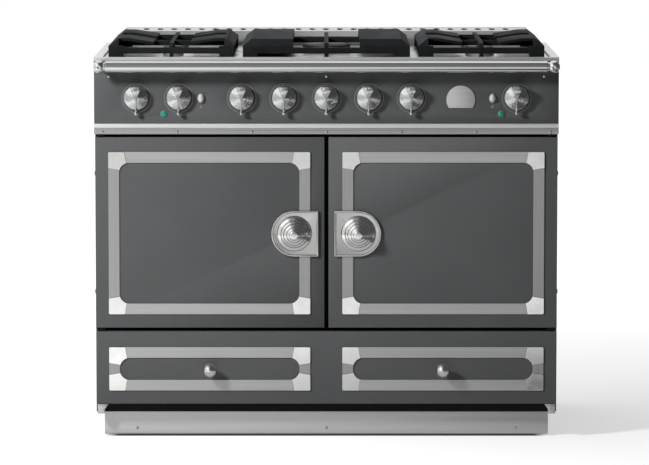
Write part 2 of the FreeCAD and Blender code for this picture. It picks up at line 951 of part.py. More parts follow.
def frame_corner(x, z, inward, upward):
    """A corner piece with a round inner edge and slanted ends."""
    outline = [
        (x, z),
        (x + inward * s.corner_leg, z),
        arc_point(
            x + inward * corner_reach,
            z + upward * s.strip_width,
            (x + inward * corner_middle, z + upward * corner_middle),
            s.corner_inner_radius,
        ),
        (x + inward * s.strip_width, z + upward * corner_reach),
        (x, z + upward * s.corner_leg),
    ]
    return padded("XZ_Plane", outline, s.front_reach, s.strip_thickness + s.corner_proud)


def level_strip(low_x, high_x, z, upward):
    inner = z + upward * s.strip_width
    outline = [
        (low_x + s.corner_leg, z),
        (high_x - s.corner_leg, z),
        (high_x - corner_reach, inner),
        (low_x + corner_reach, inner),
    ]
    return padded("XZ_Plane", outline, s.front_reach, s.strip_thickness)


def upright_strip(x, inward, low_z, high_z):
    inner = x + inward * s.strip_width
    outline = [
        (x, low_z + s.corner_leg),
        (x, high_z - s.corner_leg),
        (inner, high_z - corner_reach),
        (inner, low_z + corner_reach),
    ]
    return padded("XZ_Plane", outline, s.front_reach, s.strip_thickness)


def trim_frame(low_x, high_x, low_z, high_z):
    pieces = [
        frame_corner(x, z, inward, upward)
        for x, inward in ((low_x, 1), (high_x, -1))
        for z, upward in ((low_z, 1), (high_z, -1))
    ]
    pieces += [level_strip(low_x, high_x, low_z, 1), level_strip(low_x, high_x, high_z, -1)]
    pieces += [upright_strip(low_x, 1, low_z, high_z), upright_strip(high_x, -1, low_z, high_z)]
    return pieces


# Doors: an enamelled pan closed by an inner panel, hung on pins at its outer edge.
door_back_y = front_y + s.door_depth
hinge_x = door_outer_x - s.hinge_side_inset
hinge_y = front_y + s.hinge_front_inset
handle_z = door_bottom + s.plate_rise
frame_near_x = s.frame_inner_inset
frame_far_x = half_width - s.frame_outer_inset
plate_face = s.front_reach + s.strip_thickness + s.plate_thickness


def door_pan(side):
    wall = s.door_wall
    outer = box(
        span(side, door_inner_x, door_outer_x), (front_y, door_back_y), (door_bottom, door_top)
    )
    inner = box(
        span(side, door_inner_x + wall, door_outer_x - wall),
        (front_y + wall, door_back_y + s.overrun),
        (door_bottom + wall, door_top - wall),
    )
    pieces = [cut(outer, [inner])]
    boss_x = span(side, door_outer_x - s.hinge_boss, door_outer_x)
    boss_y = (front_y, front_y + s.hinge_boss)
    pieces.append(box(boss_x, boss_y, (door_top - s.hinge_boss_height, door_top)))
    pieces.append(box(boss_x, boss_y, (door_bottom, door_bottom + s.hinge_boss_height)))
    bolt_way = RIGHTWARD if side > 0 else LEFTWARD
    for z in (door_bottom + s.hinge_bolt_inset, door_top - s.hinge_bolt_inset):
        start = side * (door_outer_x - wall)
        pieces.append(rod(s.hinge_bolt_radius, wall + s.hinge_bolt_proud, (start, hinge_y, z), bolt_way))
    bore = s.hinge_pin_radius + s.bore_fit
    depth = s.hinge_pin_length + s.loose_fit
    holes = [
        rod(bore, depth + s.overrun, (side * hinge_x, hinge_y, door_top - depth)),
        rod(bore, depth + s.overrun, (side * hinge_x, hinge_y, door_bottom - s.overrun)),
        rod(
            s.handle_stem_radius + s.bore_fit,
            wall + 2 * s.overrun,
            (side * s.plate_centre_offset, front_y - s.overrun, handle_z),
            BACKWARD,
        ),
    ]
    return cut(fused(pieces), holes)


def door_inner_panel(side):
    wall = s.door_wall
    plate = box(
        span(side, door_inner_x + wall, door_outer_x - wall),
        (door_back_y - s.door_liner_wall, door_back_y),
        (door_bottom + wall, door_top - wall),
    )
    reach = oven_inner_half - s.door_liner_boss_inset
    raised = box(
        (side * oven_x - reach, side * oven_x + reach),
        (door_back_y, door_back_y + s.door_liner_boss),
        (oven_bottom + s.door_liner_boss_inset, oven_top - s.door_liner_boss_inset),
    )
    return fused([plate, raised])


def door_trim(side):
    low_x, high_x = span(side, frame_near_x, frame_far_x)
    low_z = door_bottom + s.door_frame_rise
    return group(trim_frame(low_x, high_x, low_z, low_z + s.door_frame_height))


def plate_outline(side, shrink):
    """A D with its flat edge towards the middle of the cooker."""
    x = side * s.plate_centre_offset
    radius = s.plate_radius - shrink
    flat = x - side * (s.plate_flat - shrink)
    diagonal_x = x + side * radius * math.sqrt(0.5)
    return [
        (flat, handle_z - radius),
        arc_point(x, handle_z - radius, (diagonal_x, handle_z - radius * math.sqrt(0.5)), radius),
        arc_point(x + side * radius, handle_z, (diagonal_x, handle_z + radius * math.sqrt(0.5)), radius),
        (x, handle_z + radius),
        (flat, handle_z + radius),
    ]


def door_plate(side):
    depth = s.strip_thickness + s.plate_thickness
    base = padded("XZ_Plane", plate_outline(side, ZERO), s.front_reach, depth)
    rim = cut(
        padded("XZ_Plane", plate_outline(side, ZERO), plate_face, s.plate_rim_proud),
        [padded("XZ_Plane", plate_outline(side, s.plate_rim), plate_face, s.plate_rim_proud)],
    )
    strip_slot = box(
        span(side, frame_near_x, frame_near_x + s.strip_width),
        (front_y - s.strip_thickness, front_y + s.overrun),
        (handle_z - s.plate_radius * 2, handle_z + s.plate_radius * 2),
    )
    hole = rod(
        s.handle_stem_radius + s.bore_fit,
        depth + 2 * s.overrun,
        (side * s.plate_centre_offset, front_y - depth - s.overrun, handle_z),
        BACKWARD,
    )
    return cut(fused([base, rim]), [strip_slot, hole])


def door_knob(side):
    """A stepped dome with a spindle through the door and a latch cam behind it."""
    wide = s.handle_radius
    tall = s.handle_reach
    stem = s.strip_thickness + s.plate_thickness + s.handle_stem_length
    profile = [
        (0, -stem),
        (s.handle_stem_radius, -stem),
        (s.handle_stem_radius, 0),
        (wide, 0),
        (wide, tall * 0.1),
        (wide * 0.96, tall * 0.18),
        (wide * 0.78, tall * 0.3),
        (wide * 0.76, tall * 0.4),
        (wide * 0.62, tall * 0.5),
        (wide * 0.6, tall * 0.62),
        (wide * 0.44, tall * 0.72),
        (wide * 0.42, tall * 0.84),
        (wide * 0.28, tall * 0.94),
        (wide * 0.2, tall),
        (0, tall),
    ]
    at = (side * s.plate_centre_offset, -(plate_face + s.loose_fit), handle_z)
    cam_back = front_y + s.handle_stem_length - s.loose_fit
    x = side * s.plate_centre_offset
    cam = box(
        (x - s.latch_cam_width / 2, x + s.latch_cam_width / 2),
        (cam_back - s.latch_cam_depth, cam_back),
        (handle_z - s.handle_stem_radius, handle_z + s.latch_cam_length),
    )
    return fused([turned(profile, at, FORWARD), cam])


def hinge_bracket(side, upward):
    """A plate on the front frame, above or below a door, with a pin into the door."""
    edge = door_top if upward > 0 else door_bottom
    near = edge + upward * s.hinge_plate_gap
    far = near + upward * s.hinge_plate
    low, high = (near, far) if upward > 0 else (far, near)
    half = s.hinge_plate_width / 2
    plate = box(
        (side * hinge_x - half, side * hinge_x + half), (hinge_y - half, frame_y), (low, high)
    )
    start = edge - s.hinge_pin_length if upward > 0 else near
    pin = rod(
        s.hinge_pin_radius,
        s.hinge_pin_length + s.hinge_plate_gap,
        (side * hinge_x, hinge_y, start),
    )
    return fused([plate, pin])


for name, side in SIDES:
    node(f"door_{name}", door_pan(side))
    node(f"door_{name}_inner_panel", door_inner_panel(side))
    node(f"door_{name}_trim", door_trim(side))
    node(f"door_{name}_plate", door_plate(side))
    node(f"door_{name}_knob", door_knob(side))
node("hinge_brackets", group([hinge_bracket(side, way) for _, side in SIDES for way in (-1, 1)]))


# Drawer: a front pan, an open box with slide bars, and two runners on the side panels.
runner_outer_x = opening_x - s.runner_wall
runner_inner_x = runner_outer_x - s.runner_width
runner_low = drawer_bottom + s.runner_rise
slide_low = runner_low + s.runner_wall + s.loose_fit
box_half = runner_inner_x - s.working_gap
box_bottom = drawer_bottom + s.drawer_box_bottom_gap
box_back_y = front_y + s.drawer_box_length


def drawer_front():
    outer = box(
        (-door_outer_x, door_outer_x),
        (front_y, front_y + s.drawer_front_depth),
        (drawer_bottom, drawer_top),
    )
    wall = s.drawer_front_wall
    inner = box(
        (-door_outer_x + wall, door_outer_x - wall),
        (front_y + wall, front_y + s.drawer_front_depth + s.overrun),
        (drawer_bottom + wall, drawer_top - wall),
    )
    return cut(outer, [inner])


def drawer_box():
    wall = s.drawer_box_wall
    start = front_y + s.drawer_front_wall
    outer = box((-box_half, box_half), (start, box_back_y), (box_bottom, box_bottom + s.drawer_box_height))
    inner = box(
        (-box_half + wall, box_half - wall),
        (start + wall, box_back_y - wall),
        (box_bottom + wall, box_bottom + s.drawer_box_height + s.overrun),
    )
    bars = []
    for _, side in SIDES:
        bars.append(
            box(
                span(side, box_half, runner_outer_x - s.runner_wall - s.loose_fit),
                (frame_back_y + s.working_gap, box_back_y),
                (slide_low, slide_low + s.slide_bar_height),
            )
        )
    return fused([cut(outer, [inner])] + bars)


def drawer_runner(side):
    """A channel open towards the drawer, on two arms from the side panel."""
    wall = s.runner_wall
    high = slide_low + s.slide_bar_height + s.loose_fit
    start = frame_back_y
    end = box_back_y + s.runner_width
    channel = cut(
        box(span(side, runner_inner_x, runner_outer_x), (start, end), (runner_low, high + wall)),
        [box(
            span(side, runner_inner_x - s.overrun, runner_outer_x - wall),
            (start - s.overrun, end + s.overrun),
            (runner_low + wall, high),
        )],
    )
    arms = [
        box(
            span(side, runner_outer_x, inner_x),
            (near, near + s.runner_arm_length),
            (runner_low, high + wall),
        )
        for near in (start + s.runner_arm_length, end - 2 * s.runner_arm_length)
    ]
    return fused([channel] + arms)


def drawer_knob(side):
    ball_radius = s.drawer_knob_radius
    neck = s.drawer_knob_neck
    tall = s.drawer_knob_reach
    lower = math.sqrt(ball_radius.value ** 2 - neck.value ** 2) / ball_radius.value
    profile = [
        (0, 0),
        (s.drawer_knob_base_radius, 0),
        (s.drawer_knob_base_radius, s.drawer_knob_base_height / 2),
        (neck, s.drawer_knob_base_height),
        arc_point(neck, tall - ball_radius * lower, (ball_radius, tall), ball_radius),
        (0, tall + ball_radius),
    ]
    z = drawer_bottom + s.drawer_frame_rise + s.drawer_frame_height / 2
    return turned(profile, (side * oven_x, front_y, z), FORWARD)


def drawer_trim():
    low_z = drawer_bottom + s.drawer_frame_rise
    high_z = low_z + s.drawer_frame_height
    pieces = []
    for _, side in SIDES:
        low_x, high_x = span(side, frame_near_x, frame_far_x)
        pieces += trim_frame(low_x, high_x, low_z, high_z)
    return group(pieces)


node("drawer_front", drawer_front())
node("drawer_box", drawer_box())
node("drawer_trim", drawer_trim())
node("drawer_knobs", group([drawer_knob(side) for _, side in SIDES]))
node("drawer_runners", group([drawer_runner(side) for _, side in SIDES]))


# Control panel: an enamelled pan on the front edges of the side panels.
oven_knob_share = 0.818
selector_knob_share = 0.636
burner_knob_share = 0.1825
button_shares = (-0.54, 0.7145)
lamp_shares = (-0.7, 0.7527)
badge_share = 0.578
CONTROL_KNOBS = (
    ("thermostat_knob_left", half_width * -oven_knob_share),
    ("selector_knob", half_width * -selector_knob_share),
    ("burner_knob_1", half_width * (-2 * burner_knob_share)),
    ("burner_knob_2", half_width * -burner_knob_share),
    ("burner_knob_3", ZERO),
    ("burner_knob_4", half_width * burner_knob_share),
    ("burner_knob_5", half_width * (2 * burner_knob_share)),
    ("thermostat_knob_right", half_width * oven_knob_share),
)
BUTTONS = tuple(
    (name, half_width * share)
    for name, share in zip(("button_left", "button_right"), button_shares)
)
LAMPS = tuple(half_width * share for share in lamp_shares)
lamp_z = edge_bottom - s.lamp_drop
panel_back_y = front_y + s.panel_wall
knob_base = s.front_reach + s.working_gap


def slot_outline(x, z, half, reach):
    """A slot with round ends, upright, from its half width and half length."""
    straight = reach - half
    share = math.sqrt(0.5)
    return [
        (x + half, z - straight),
        arc_point(x + half, z + straight, (x + half * share, z + straight + half * share), half),
        arc_point(x, z + reach, (x - half * share, z + straight + half * share), half),
        (x - half, z + straight),
        arc_point(x - half, z - straight, (x - half * share, z - straight - half * share), half),
        arc_point(x, z - reach, (x + half * share, z - straight - half * share), half),
    ]


def control_panel():
    wall = s.panel_wall
    outer = box((-half_width, half_width), (front_y, frame_y), (panel_bottom, edge_bottom))
    inner = box(
        (-half_width + wall, half_width - wall),
        (front_y + wall, frame_y + s.overrun),
        (panel_bottom + wall, edge_bottom - wall),
    )
    through = wall + 2 * s.overrun
    start = front_y - s.overrun
    holes = []
    for _, x in CONTROL_KNOBS:
        holes.append(rod(s.knob_shaft_radius + s.loose_fit, through, (x, start, knob_z), BACKWARD))
        ring_start = (x, front_y - s.overrun, knob_z)
        depth = s.overrun + s.knob_ring_depth
        ring = cut(
            rod(s.knob_ring_radius, depth, ring_start, BACKWARD),
            [rod(s.knob_ring_radius - s.knob_ring_width, depth, ring_start, BACKWARD)],
        )
        holes.append(ring)
    for _, x in BUTTONS:
        half = s.button_width / 2 + s.loose_fit
        reach = s.button_length / 2 + s.loose_fit
        outline = slot_outline(x, knob_z, half, reach)
        holes.append(padded("XZ_Plane", outline, s.front_reach - wall - s.overrun, through))
    for x in LAMPS:
        holes.append(rod(s.lamp_stem_radius + s.bore_fit, through, (x, start, lamp_z), BACKWARD))
    return cut(cut(outer, [inner]), holes)


def panel_trim():
    """A folded moulding under the panel: a flat face and a slope back to the panel."""
    wall = s.panel_wall
    face = front_y - s.panel_trim_proud
    outline = [
        (frame_y, trim_bottom),
        (face, trim_bottom),
        (face, trim_bottom + s.panel_trim_flat),
        (front_y, panel_bottom),
        (frame_y, panel_bottom),
    ]
    solid = padded("YZ_Plane", outline, -half_width, 2 * half_width)
    hollow = box(
        (-half_width + wall, half_width - wall),
        (front_y + wall, frame_y + s.overrun),
        (trim_bottom + wall, panel_bottom - wall),
    )
    return cut(solid, [hollow])


def screw(x, face, z):
    radius = s.screw_radius
    head = s.screw_head
    profile = [
        (0, 0),
        (radius, 0),
        (radius, head * 0.3),
        (radius * 0.7, head * 0.85),
        (0, head),
    ]
    return turned(profile, (x, face, z), FORWARD)


def front_screws():
    trim_face = front_y - s.panel_trim_proud
    trim_z = trim_bottom + s.panel_trim_flat / 2
    trim_spacing = (half_width - s.trim_screw_inset) / 3
    panel_x = half_width - s.panel_screw_inset
    panel_z = edge_bottom - s.panel_screw_drop
    plinth_x = half_width - s.plinth_side_inset - s.plinth_screw_inset
    plinth_face = -(s.front_reach - s.plinth_set_back)
    plinth_z = s.plinth_height / 3
    places = [(index * trim_spacing, trim_face, trim_z) for index in range(-3, 4)]
    places += [(index * panel_x, front_y, panel_z) for index in (-1, 0, 1)]
    places += [(index * plinth_x, plinth_face, plinth_z) for index in (-1, 0, 1)]
    return group([screw(*at) for at in places])


def badge_plate():
    """The bare plate: a round plate cut flat below."""
    x, z = half_width * badge_share, edge_bottom - s.badge_drop
    radius, flat = s.badge_radius, s.badge_flat
    drop = math.asin(flat.value / radius.value)
    wide = math.cos(drop)

    def rim(angle):
        return (x + radius * math.cos(angle), z + radius * math.sin(angle))

    outline = [
        (x - radius * wide, z - flat),
        arc_point(x + radius * wide, z - flat, rim(-drop / 2), radius),
        arc_point(x + radius, z, rim(math.pi / 4), radius),
        arc_point(x, z + radius, rim(math.pi * 3 / 4), radius),
        arc_point(x - radius, z, rim(math.pi + drop / 2), radius),
    ]
    return padded("XZ_Plane", outline, s.front_reach, s.badge_thickness)


def indicator_lamp(x):
    radius = s.lamp_radius
    bezel = s.lamp_bezel
    stem = s.panel_wall * 4
    profile = [
        (0, -stem),
        (s.lamp_stem_radius, -stem),
        (s.lamp_stem_radius, 0),
        (radius, 0),
        (radius, bezel),
        (radius * 0.85, bezel),
        (radius * 0.7, bezel + radius * 0.3),
        (radius * 0.4, bezel + radius * 0.45),
        (0, bezel + radius * 0.5),
    ]
    return turned(profile, (x, front_y, lamp_z), FORWARD)


# Control knobs: a flared skirt with a domed face, a waisted bar, a pointer ball and a shaft.
def control_knob(x):
    radius = s.knob_radius
    dome = s.knob_dome
    z = knob_z
    profile = [
        (0, -s.knob_shaft_length),
        (s.knob_shaft_radius, -s.knob_shaft_length),
        (s.knob_shaft_radius, 0),
        (radius * 0.8, 0),
        (radius * 0.86, dome * 0.12),
        (radius * 0.95, dome * 0.32),
        (radius, dome * 0.54),
        (radius * 0.97, dome * 0.68),
        (radius * 0.84, dome * 0.83),
        (radius * 0.5, dome * 0.96),
        (0, dome),
    ]
    disc = turned(profile, (x, -knob_base, z), FORWARD)
    tall = s.knob_bar_top
    wide = s.knob_bar_wide
    waist = s.knob_bar_waist
    foot = s.knob_pointer_stem / 2
    drop = s.knob_pointer_drop
    right_side = [
        (foot, -drop * 0.6),
        (waist * 0.8, -drop * 0.25),
        (waist, ZERO),
        (waist * 1.4, tall * 0.45),
        (wide, tall * 0.85),
        (wide * 0.8, tall),
    ]
    outline = [(x + across, z + up) for across, up in right_side]
    outline += [(x - across, z + up) for across, up in reversed(right_side)]
    bar = padded("XZ_Plane", outline, knob_base, s.knob_bar_reach)
    front = -(knob_base + dome * 0.54)
    stem = rod(foot, drop * 0.6, (x, front, z - drop * 0.4), DOWN)
    pointer = ball(s.knob_pointer_radius, (x, front, z - drop))
    return fused([disc, bar, stem, pointer])


def push_button(x):
    """An oval cap in its hole in the panel, on a stem that runs into its switch."""
    outline = slot_outline(x, knob_z, s.button_width / 2, s.button_length / 2)
    cap = padded("XZ_Plane", outline, s.front_reach - s.panel_wall, s.button_reach + s.panel_wall)
    start = (x, panel_back_y, knob_z)
    stem = rod(s.button_stem_radius, s.switch_block_depth - 2 * s.button_travel, start, BACKWARD)
    return fused([cap, stem])


# Gas manifold: a tube behind the panel, a pipe to the rear and a valve for each burner.
manifold_y = front_y + s.manifold_set_back
manifold_start_x = half_width * (-2 * burner_knob_share) - s.valve_width


def gas_manifold():
    radius = s.manifold_radius
    bore = radius - s.panel_wall
    z = knob_z
    inlet_y = back_y - s.panel_wall - s.inlet_length
    along = gas_pipe_x - manifold_start_x
    back = inlet_y - manifold_y
    outer = [
        rod(radius, along, (manifold_start_x, manifold_y, z), RIGHTWARD),
        ball(radius, (gas_pipe_x, manifold_y, z)),
        rod(radius, back, (gas_pipe_x, manifold_y, z), BACKWARD),
        rod(s.inlet_radius, s.inlet_length, (gas_pipe_x, inlet_y, z), BACKWARD),
        box(
            (gas_pipe_x, inner_x),
            (ZERO, s.pipe_bracket_width),
            (z - s.pipe_bracket_width / 2, z + s.pipe_bracket_width / 2),
        ),
    ]
    inner = [
        rod(bore, along - s.panel_wall, (manifold_start_x + s.panel_wall, manifold_y, z), RIGHTWARD),
        ball(bore, (gas_pipe_x, manifold_y, z)),
        rod(bore, back + s.inlet_length + s.overrun, (gas_pipe_x, manifold_y, z), BACKWARD),
    ]
    return cut(fused(outer), inner)


def shaft_bore(x):
    length = s.knob_shaft_length - s.working_gap - s.panel_wall + s.loose_fit + s.overrun
    start = (x, panel_back_y - s.overrun, knob_z)
    return rod(s.knob_shaft_radius + s.bore_fit, length, start, BACKWARD)


def gas_valve(x):
    z = knob_z
    half = s.valve_width / 2
    block = box(
        (x - half, x + half),
        (panel_back_y, panel_back_y + s.valve_depth),
        (z - s.valve_height / 2, z + s.valve_height / 2),
    )
    nipple_start = panel_back_y + s.valve_depth
    length = manifold_y - s.manifold_radius - nipple_start
    nipple = rod(s.valve_nipple_radius, length, (x, nipple_start, z), BACKWARD)
    return cut(fused([block, nipple]), [shaft_bore(x)])


def oven_control(x):
    half = s.control_block_width / 2
    z = knob_z
    block = box(
        (x - half, x + half),
        (panel_back_y, panel_back_y + s.control_block_depth),
        (z - half, z + half),
    )
    return cut(block, [shaft_bore(x)])


def button_switch(x):
    """A switch behind the panel, with a well that the button's cap sinks into."""
    half = s.button_width / 2 + s.switch_block_wall
    reach = s.button_length / 2 + s.switch_block_wall
    z = knob_z
    block = box(
        (x - half, x + half),
        (panel_back_y, panel_back_y + s.switch_block_depth),
        (z - reach, z + reach),
    )
    well_outline = slot_outline(x, z, s.button_width / 2 + s.loose_fit, s.button_length / 2 + s.loose_fit)
    depth = s.button_travel + s.loose_fit
    well = padded("XZ_Plane", well_outline, -panel_back_y - depth, depth + s.overrun)
    start = (x, panel_back_y, z)
    bore = rod(s.button_stem_radius + s.bore_fit, s.switch_block_depth - s.panel_wall, start, BACKWARD)
    return cut(block, [well, bore])


def terminal_box():
    """The mains terminal box inside the rear panel, holed for the cable."""
    half = s.terminal_width / 2
    wall = s.terminal_wall
    low = terminal_low
    outer = box(
        (terminal_x - half, terminal_x + half),
        (rear_inner_y - s.terminal_depth, rear_inner_y),
        (low, low + s.terminal_height),
    )
    inner = box(
        (terminal_x - half + wall, terminal_x + half - wall),
        (rear_inner_y - s.terminal_depth + wall, rear_inner_y - wall),
        (low + wall, low + s.terminal_height - wall),
    )
    start = (terminal_x, rear_inner_y - wall - s.overrun, terminal_z)
    bore = rod(s.cable_bore_radius, wall + 2 * s.overrun, start, BACKWARD)
    return cut(outer, [inner, bore])


node("control_panel", control_panel())
node("panel_trim", panel_trim())
node("front_screws", front_screws())
node("badge_plate", badge_plate())
node("indicator_lamps", group([indicator_lamp(x) for x in LAMPS]))
for name, x in CONTROL_KNOBS:
    node(name, control_knob(x))
for name, x in BUTTONS:
    node(name, push_button(x))
node("gas_manifold", gas_manifold())
node("gas_valves", group([gas_valve(x) for name, x in CONTROL_KNOBS if "burner" in name]))
oven_knob_places = [x for name, x in CONTROL_KNOBS if "burner" not in name]
node(
    "oven_controls",
    group([oven_control(x) for x in oven_knob_places] + [button_switch(x) for _, x in BUTTONS]),
)
node("terminal_box", terminal_box())


# Towel rail: a tube between two posts with ball ends.
rail_y = front_y - s.rail_reach
rail_half = half_width - s.rail_end_gap


def rail_tube():
    start = (-rail_half, rail_y, rail_z)
    outer = rod(s.rail_radius, 2 * rail_half, start, RIGHTWARD)
    bore_start = (-rail_half - s.overrun, rail_y, rail_z)
    bore = rod(s.rail_radius - s.rail_wall, 2 * rail_half + 2 * s.overrun, bore_start, RIGHTWARD)
    return cut(outer, [bore])


def rail_end(side):
    x = side * (half_width - s.rail_ball_radius)
    at = (x, rail_y, rail_z)
    inward = LEFTWARD if side > 0 else RIGHTWARD
    seam_forward = FreeCAD.Rotation(FreeCAD.Vector(0, 0, 1), -90)
    neck = half_width - s.rail_ball_radius - rail_half
    flange_start = (x, front_y - s.rail_flange_height, rail_z)
    return fused([
        ball(s.rail_ball_radius, at, seam_forward),
        rod(s.rail_collar_radius, neck, at, inward),
        rod(s.rail_post_radius, s.rail_reach, at, BACKWARD),
        rod(s.rail_flange_radius, s.rail_flange_height, flange_start, BACKWARD),
    ])


node("rail_tube", rail_tube())
node("rail_ends", group([rail_end(side) for _, side in SIDES]))


# Grates: cast iron frames on feet, with wings that slope down to the burners.
grate_top = pan_floor + s.grate_height
grate_low = grate_top - s.grate_bar_depth
grate_rise = grate_top + s.grate_wing_rise
grate_shoulder_z = grate_rise - s.grate_shoulder_height
grate_wall_low = pan_floor + s.grate_foot_height
grate_ends = (
    (grate_front_y, grate_front_y + s.grate_bar), (grate_back_y - s.grate_bar, grate_back_y),
)
grate_centre_half = grate_side_near - s.grate_gap


def grate_frame(low_x, high_x, cross_places):
    """The walls, bars and feet that every grate has."""
    bar = s.grate_bar
    corner = s.grate_corner_width
    beam = s.grate_shoulder_width + s.grate_shoulder_wall
    depth = (grate_front_y, grate_back_y)
    wall = (grate_wall_low, grate_shoulder_z)
    high = (grate_low, grate_top)
    end_bar = (grate_wall_low, grate_wall_low + s.grate_end_bar_height)
    middle = (low_x + high_x) / 2
    middle_x = (middle - bar / 2, middle + bar / 2)
    pieces = [
        box((low_x, low_x + bar), depth, wall),
        box((high_x - bar, high_x), depth, wall),
        box((low_x, low_x + beam), depth, (grate_shoulder_z, grate_rise)),
        box((high_x - beam, high_x), depth, (grate_shoulder_z, grate_rise)),
        box(middle_x, depth, high),
    ]
    for end_y in grate_ends:
        pieces.append(box((low_x, high_x), end_y, end_bar))
        pieces.append(box(middle_x, end_y, (pan_floor, grate_top)))
        for corner_x in ((low_x, low_x + corner), (high_x - corner, high_x)):
            pieces.append(box(corner_x, end_y, (pan_floor, grate_shoulder_z)))
    for y in cross_places:
        pieces.append(box((low_x, high_x), (y - bar / 2, y + bar / 2), high))
    return pieces


def shoulder_cuts(low_x, high_x):
    """Four wedges that slope the upper edges of a grate all round."""
    wide, over = s.grate_shoulder_width, s.overrun
    top = grate_rise + over

    def wedge(edge, inward):
        return [
            (edge, grate_shoulder_z),
            (edge + inward * wide, grate_rise),
            (edge + inward * wide, top),
            (edge - inward * over, top),
            (edge - inward * over, grate_shoulder_z),
        ]

    length = high_x - low_x + 2 * over
    cuts = [
        padded("XZ_Plane", wedge(edge, inward), -(grate_back_y + over), s.grate_depth + 2 * over)
        for edge, inward in ((low_x, 1), (high_x, -1))
    ]
    cuts += [
        padded("YZ_Plane", wedge(edge, inward), low_x - over, length)
        for edge, inward in ((grate_front_y, 1), (grate_back_y, -1))
    ]
    return cuts


def grate_wing(edge, inward, burner_x, y):
    """A wide plate that runs in from the grate's wall and slopes down towards a burner."""
    wall = s.grate_wing_wall
    root = edge + inward * s.grate_shoulder_width
    flat = edge + inward * s.grate_wing_width
    tip = burner_x - inward * s.grate_wing_gap
    outline = [
        (root, grate_rise),
        (flat, grate_rise),
        (tip, grate_top),
        (tip, grate_top - wall),
        (flat, grate_rise - wall),
        (root, grate_rise - wall),
    ]
    half = s.grate_wing_depth / 2
    return padded("XZ_Plane", outline, -y - half, s.grate_wing_depth)


def side_grate(side):
    low_x, high_x = span(side, grate_side_near, grate_side_far)
    x = side * burner_side_x
    rows = (burner_front_y, burner_back_y)
    wings = [
        grate_wing(edge, inward, x, y)
        for y in rows
        for edge, inward in ((low_x, 1), (high_x, -1))
    ]
    whole = fused(grate_frame(low_x, high_x, rows) + wings)
    return cut(whole, shoulder_cuts(low_x, high_x))


def centre_grate():
    half = grate_centre_half
    beam = s.grate_shoulder_width + s.grate_shoulder_wall
    plates = []
    for _, side in SIDES:
        across = span(side, s.grate_opening / 2, half)
        top = (grate_rise - s.grate_wing_wall, grate_rise)
        plates.append(box(across, (grate_front_y, grate_back_y), top))
        for end_y, beam_y in zip(grate_ends, (
            (grate_front_y, grate_front_y + beam), (grate_back_y - beam, grate_back_y),
        )):
            plates.append(box(across, end_y, (grate_wall_low, grate_shoulder_z)))
            plates.append(box(across, beam_y, (grate_shoulder_z, grate_rise)))
    whole = fused(grate_frame(-half, half, (burner_centre_y,)) + plates)
    return cut(whole, shoulder_cuts(-half, half))


for name, side in SIDES:
    node("grate_" + name, side_grate(side))
node("grate_centre", centre_grate())

doc.recompute()
for made in doc.Objects:
    if "Invalid" in made.State or "Error" in made.State:
        raise RuntimeError(f"{made.Label} failed: {made.State}")
for made in nodes:
    if made.Shape.isNull() or not made.Shape.isValid():
        raise RuntimeError(f"{made.Label} has no valid shape")
for made in nodes:
    made.Shape.exportStep(f"parts/{made.Label}.step")
    print(made.Label, len(made.Shape.Solids), "solids,", round(made.Shape.Volume / 1000, 1), "cm3")
print(len(nodes), "nodes")
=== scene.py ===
import json
import math
import bmesh
import bpy
from mathutils import Matrix, Vector


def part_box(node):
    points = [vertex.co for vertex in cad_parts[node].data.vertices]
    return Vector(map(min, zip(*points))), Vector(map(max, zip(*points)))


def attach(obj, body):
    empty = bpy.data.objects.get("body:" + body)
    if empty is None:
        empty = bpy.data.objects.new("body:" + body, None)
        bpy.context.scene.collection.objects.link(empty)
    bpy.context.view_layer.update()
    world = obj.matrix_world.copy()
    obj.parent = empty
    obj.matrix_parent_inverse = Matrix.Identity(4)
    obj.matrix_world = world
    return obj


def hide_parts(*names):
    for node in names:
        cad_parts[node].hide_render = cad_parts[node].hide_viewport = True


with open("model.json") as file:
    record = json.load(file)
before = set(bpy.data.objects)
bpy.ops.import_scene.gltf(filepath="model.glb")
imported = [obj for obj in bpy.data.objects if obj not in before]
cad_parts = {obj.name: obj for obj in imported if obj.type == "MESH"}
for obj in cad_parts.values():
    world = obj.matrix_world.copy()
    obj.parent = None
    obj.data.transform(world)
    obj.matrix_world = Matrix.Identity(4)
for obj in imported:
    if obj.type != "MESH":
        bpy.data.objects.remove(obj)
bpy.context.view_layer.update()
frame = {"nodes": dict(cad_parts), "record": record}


# Base frame, levelling feet and the front frame above them.
# Folded steel coloured matt near-black as painted shade, which leaves the gaps around the doors and
# the drawer dark.
# The feet have screwed zinc-coated stems and carry the whole weight.
class Wire:
    """An output of a finish's nodes. Sums and products of wires add Math nodes."""

    def __init__(self, finish, socket):
        self.finish = finish
        self.socket = socket

    def math(self, operation, *others):
        return self.finish.node("ShaderNodeMath", {"operation": operation}, [self, *others])

    def __add__(self, other):
        return self.math("ADD", other)

    def __sub__(self, other):
        return self.math("SUBTRACT", other)

    def __mul__(self, other):
        return self.math("MULTIPLY", other)

    def __rsub__(self, other):
        return self.finish.node("ShaderNodeMath", {"operation": "SUBTRACT"}, [other, self])

    __radd__ = __add__
    __rmul__ = __mul__


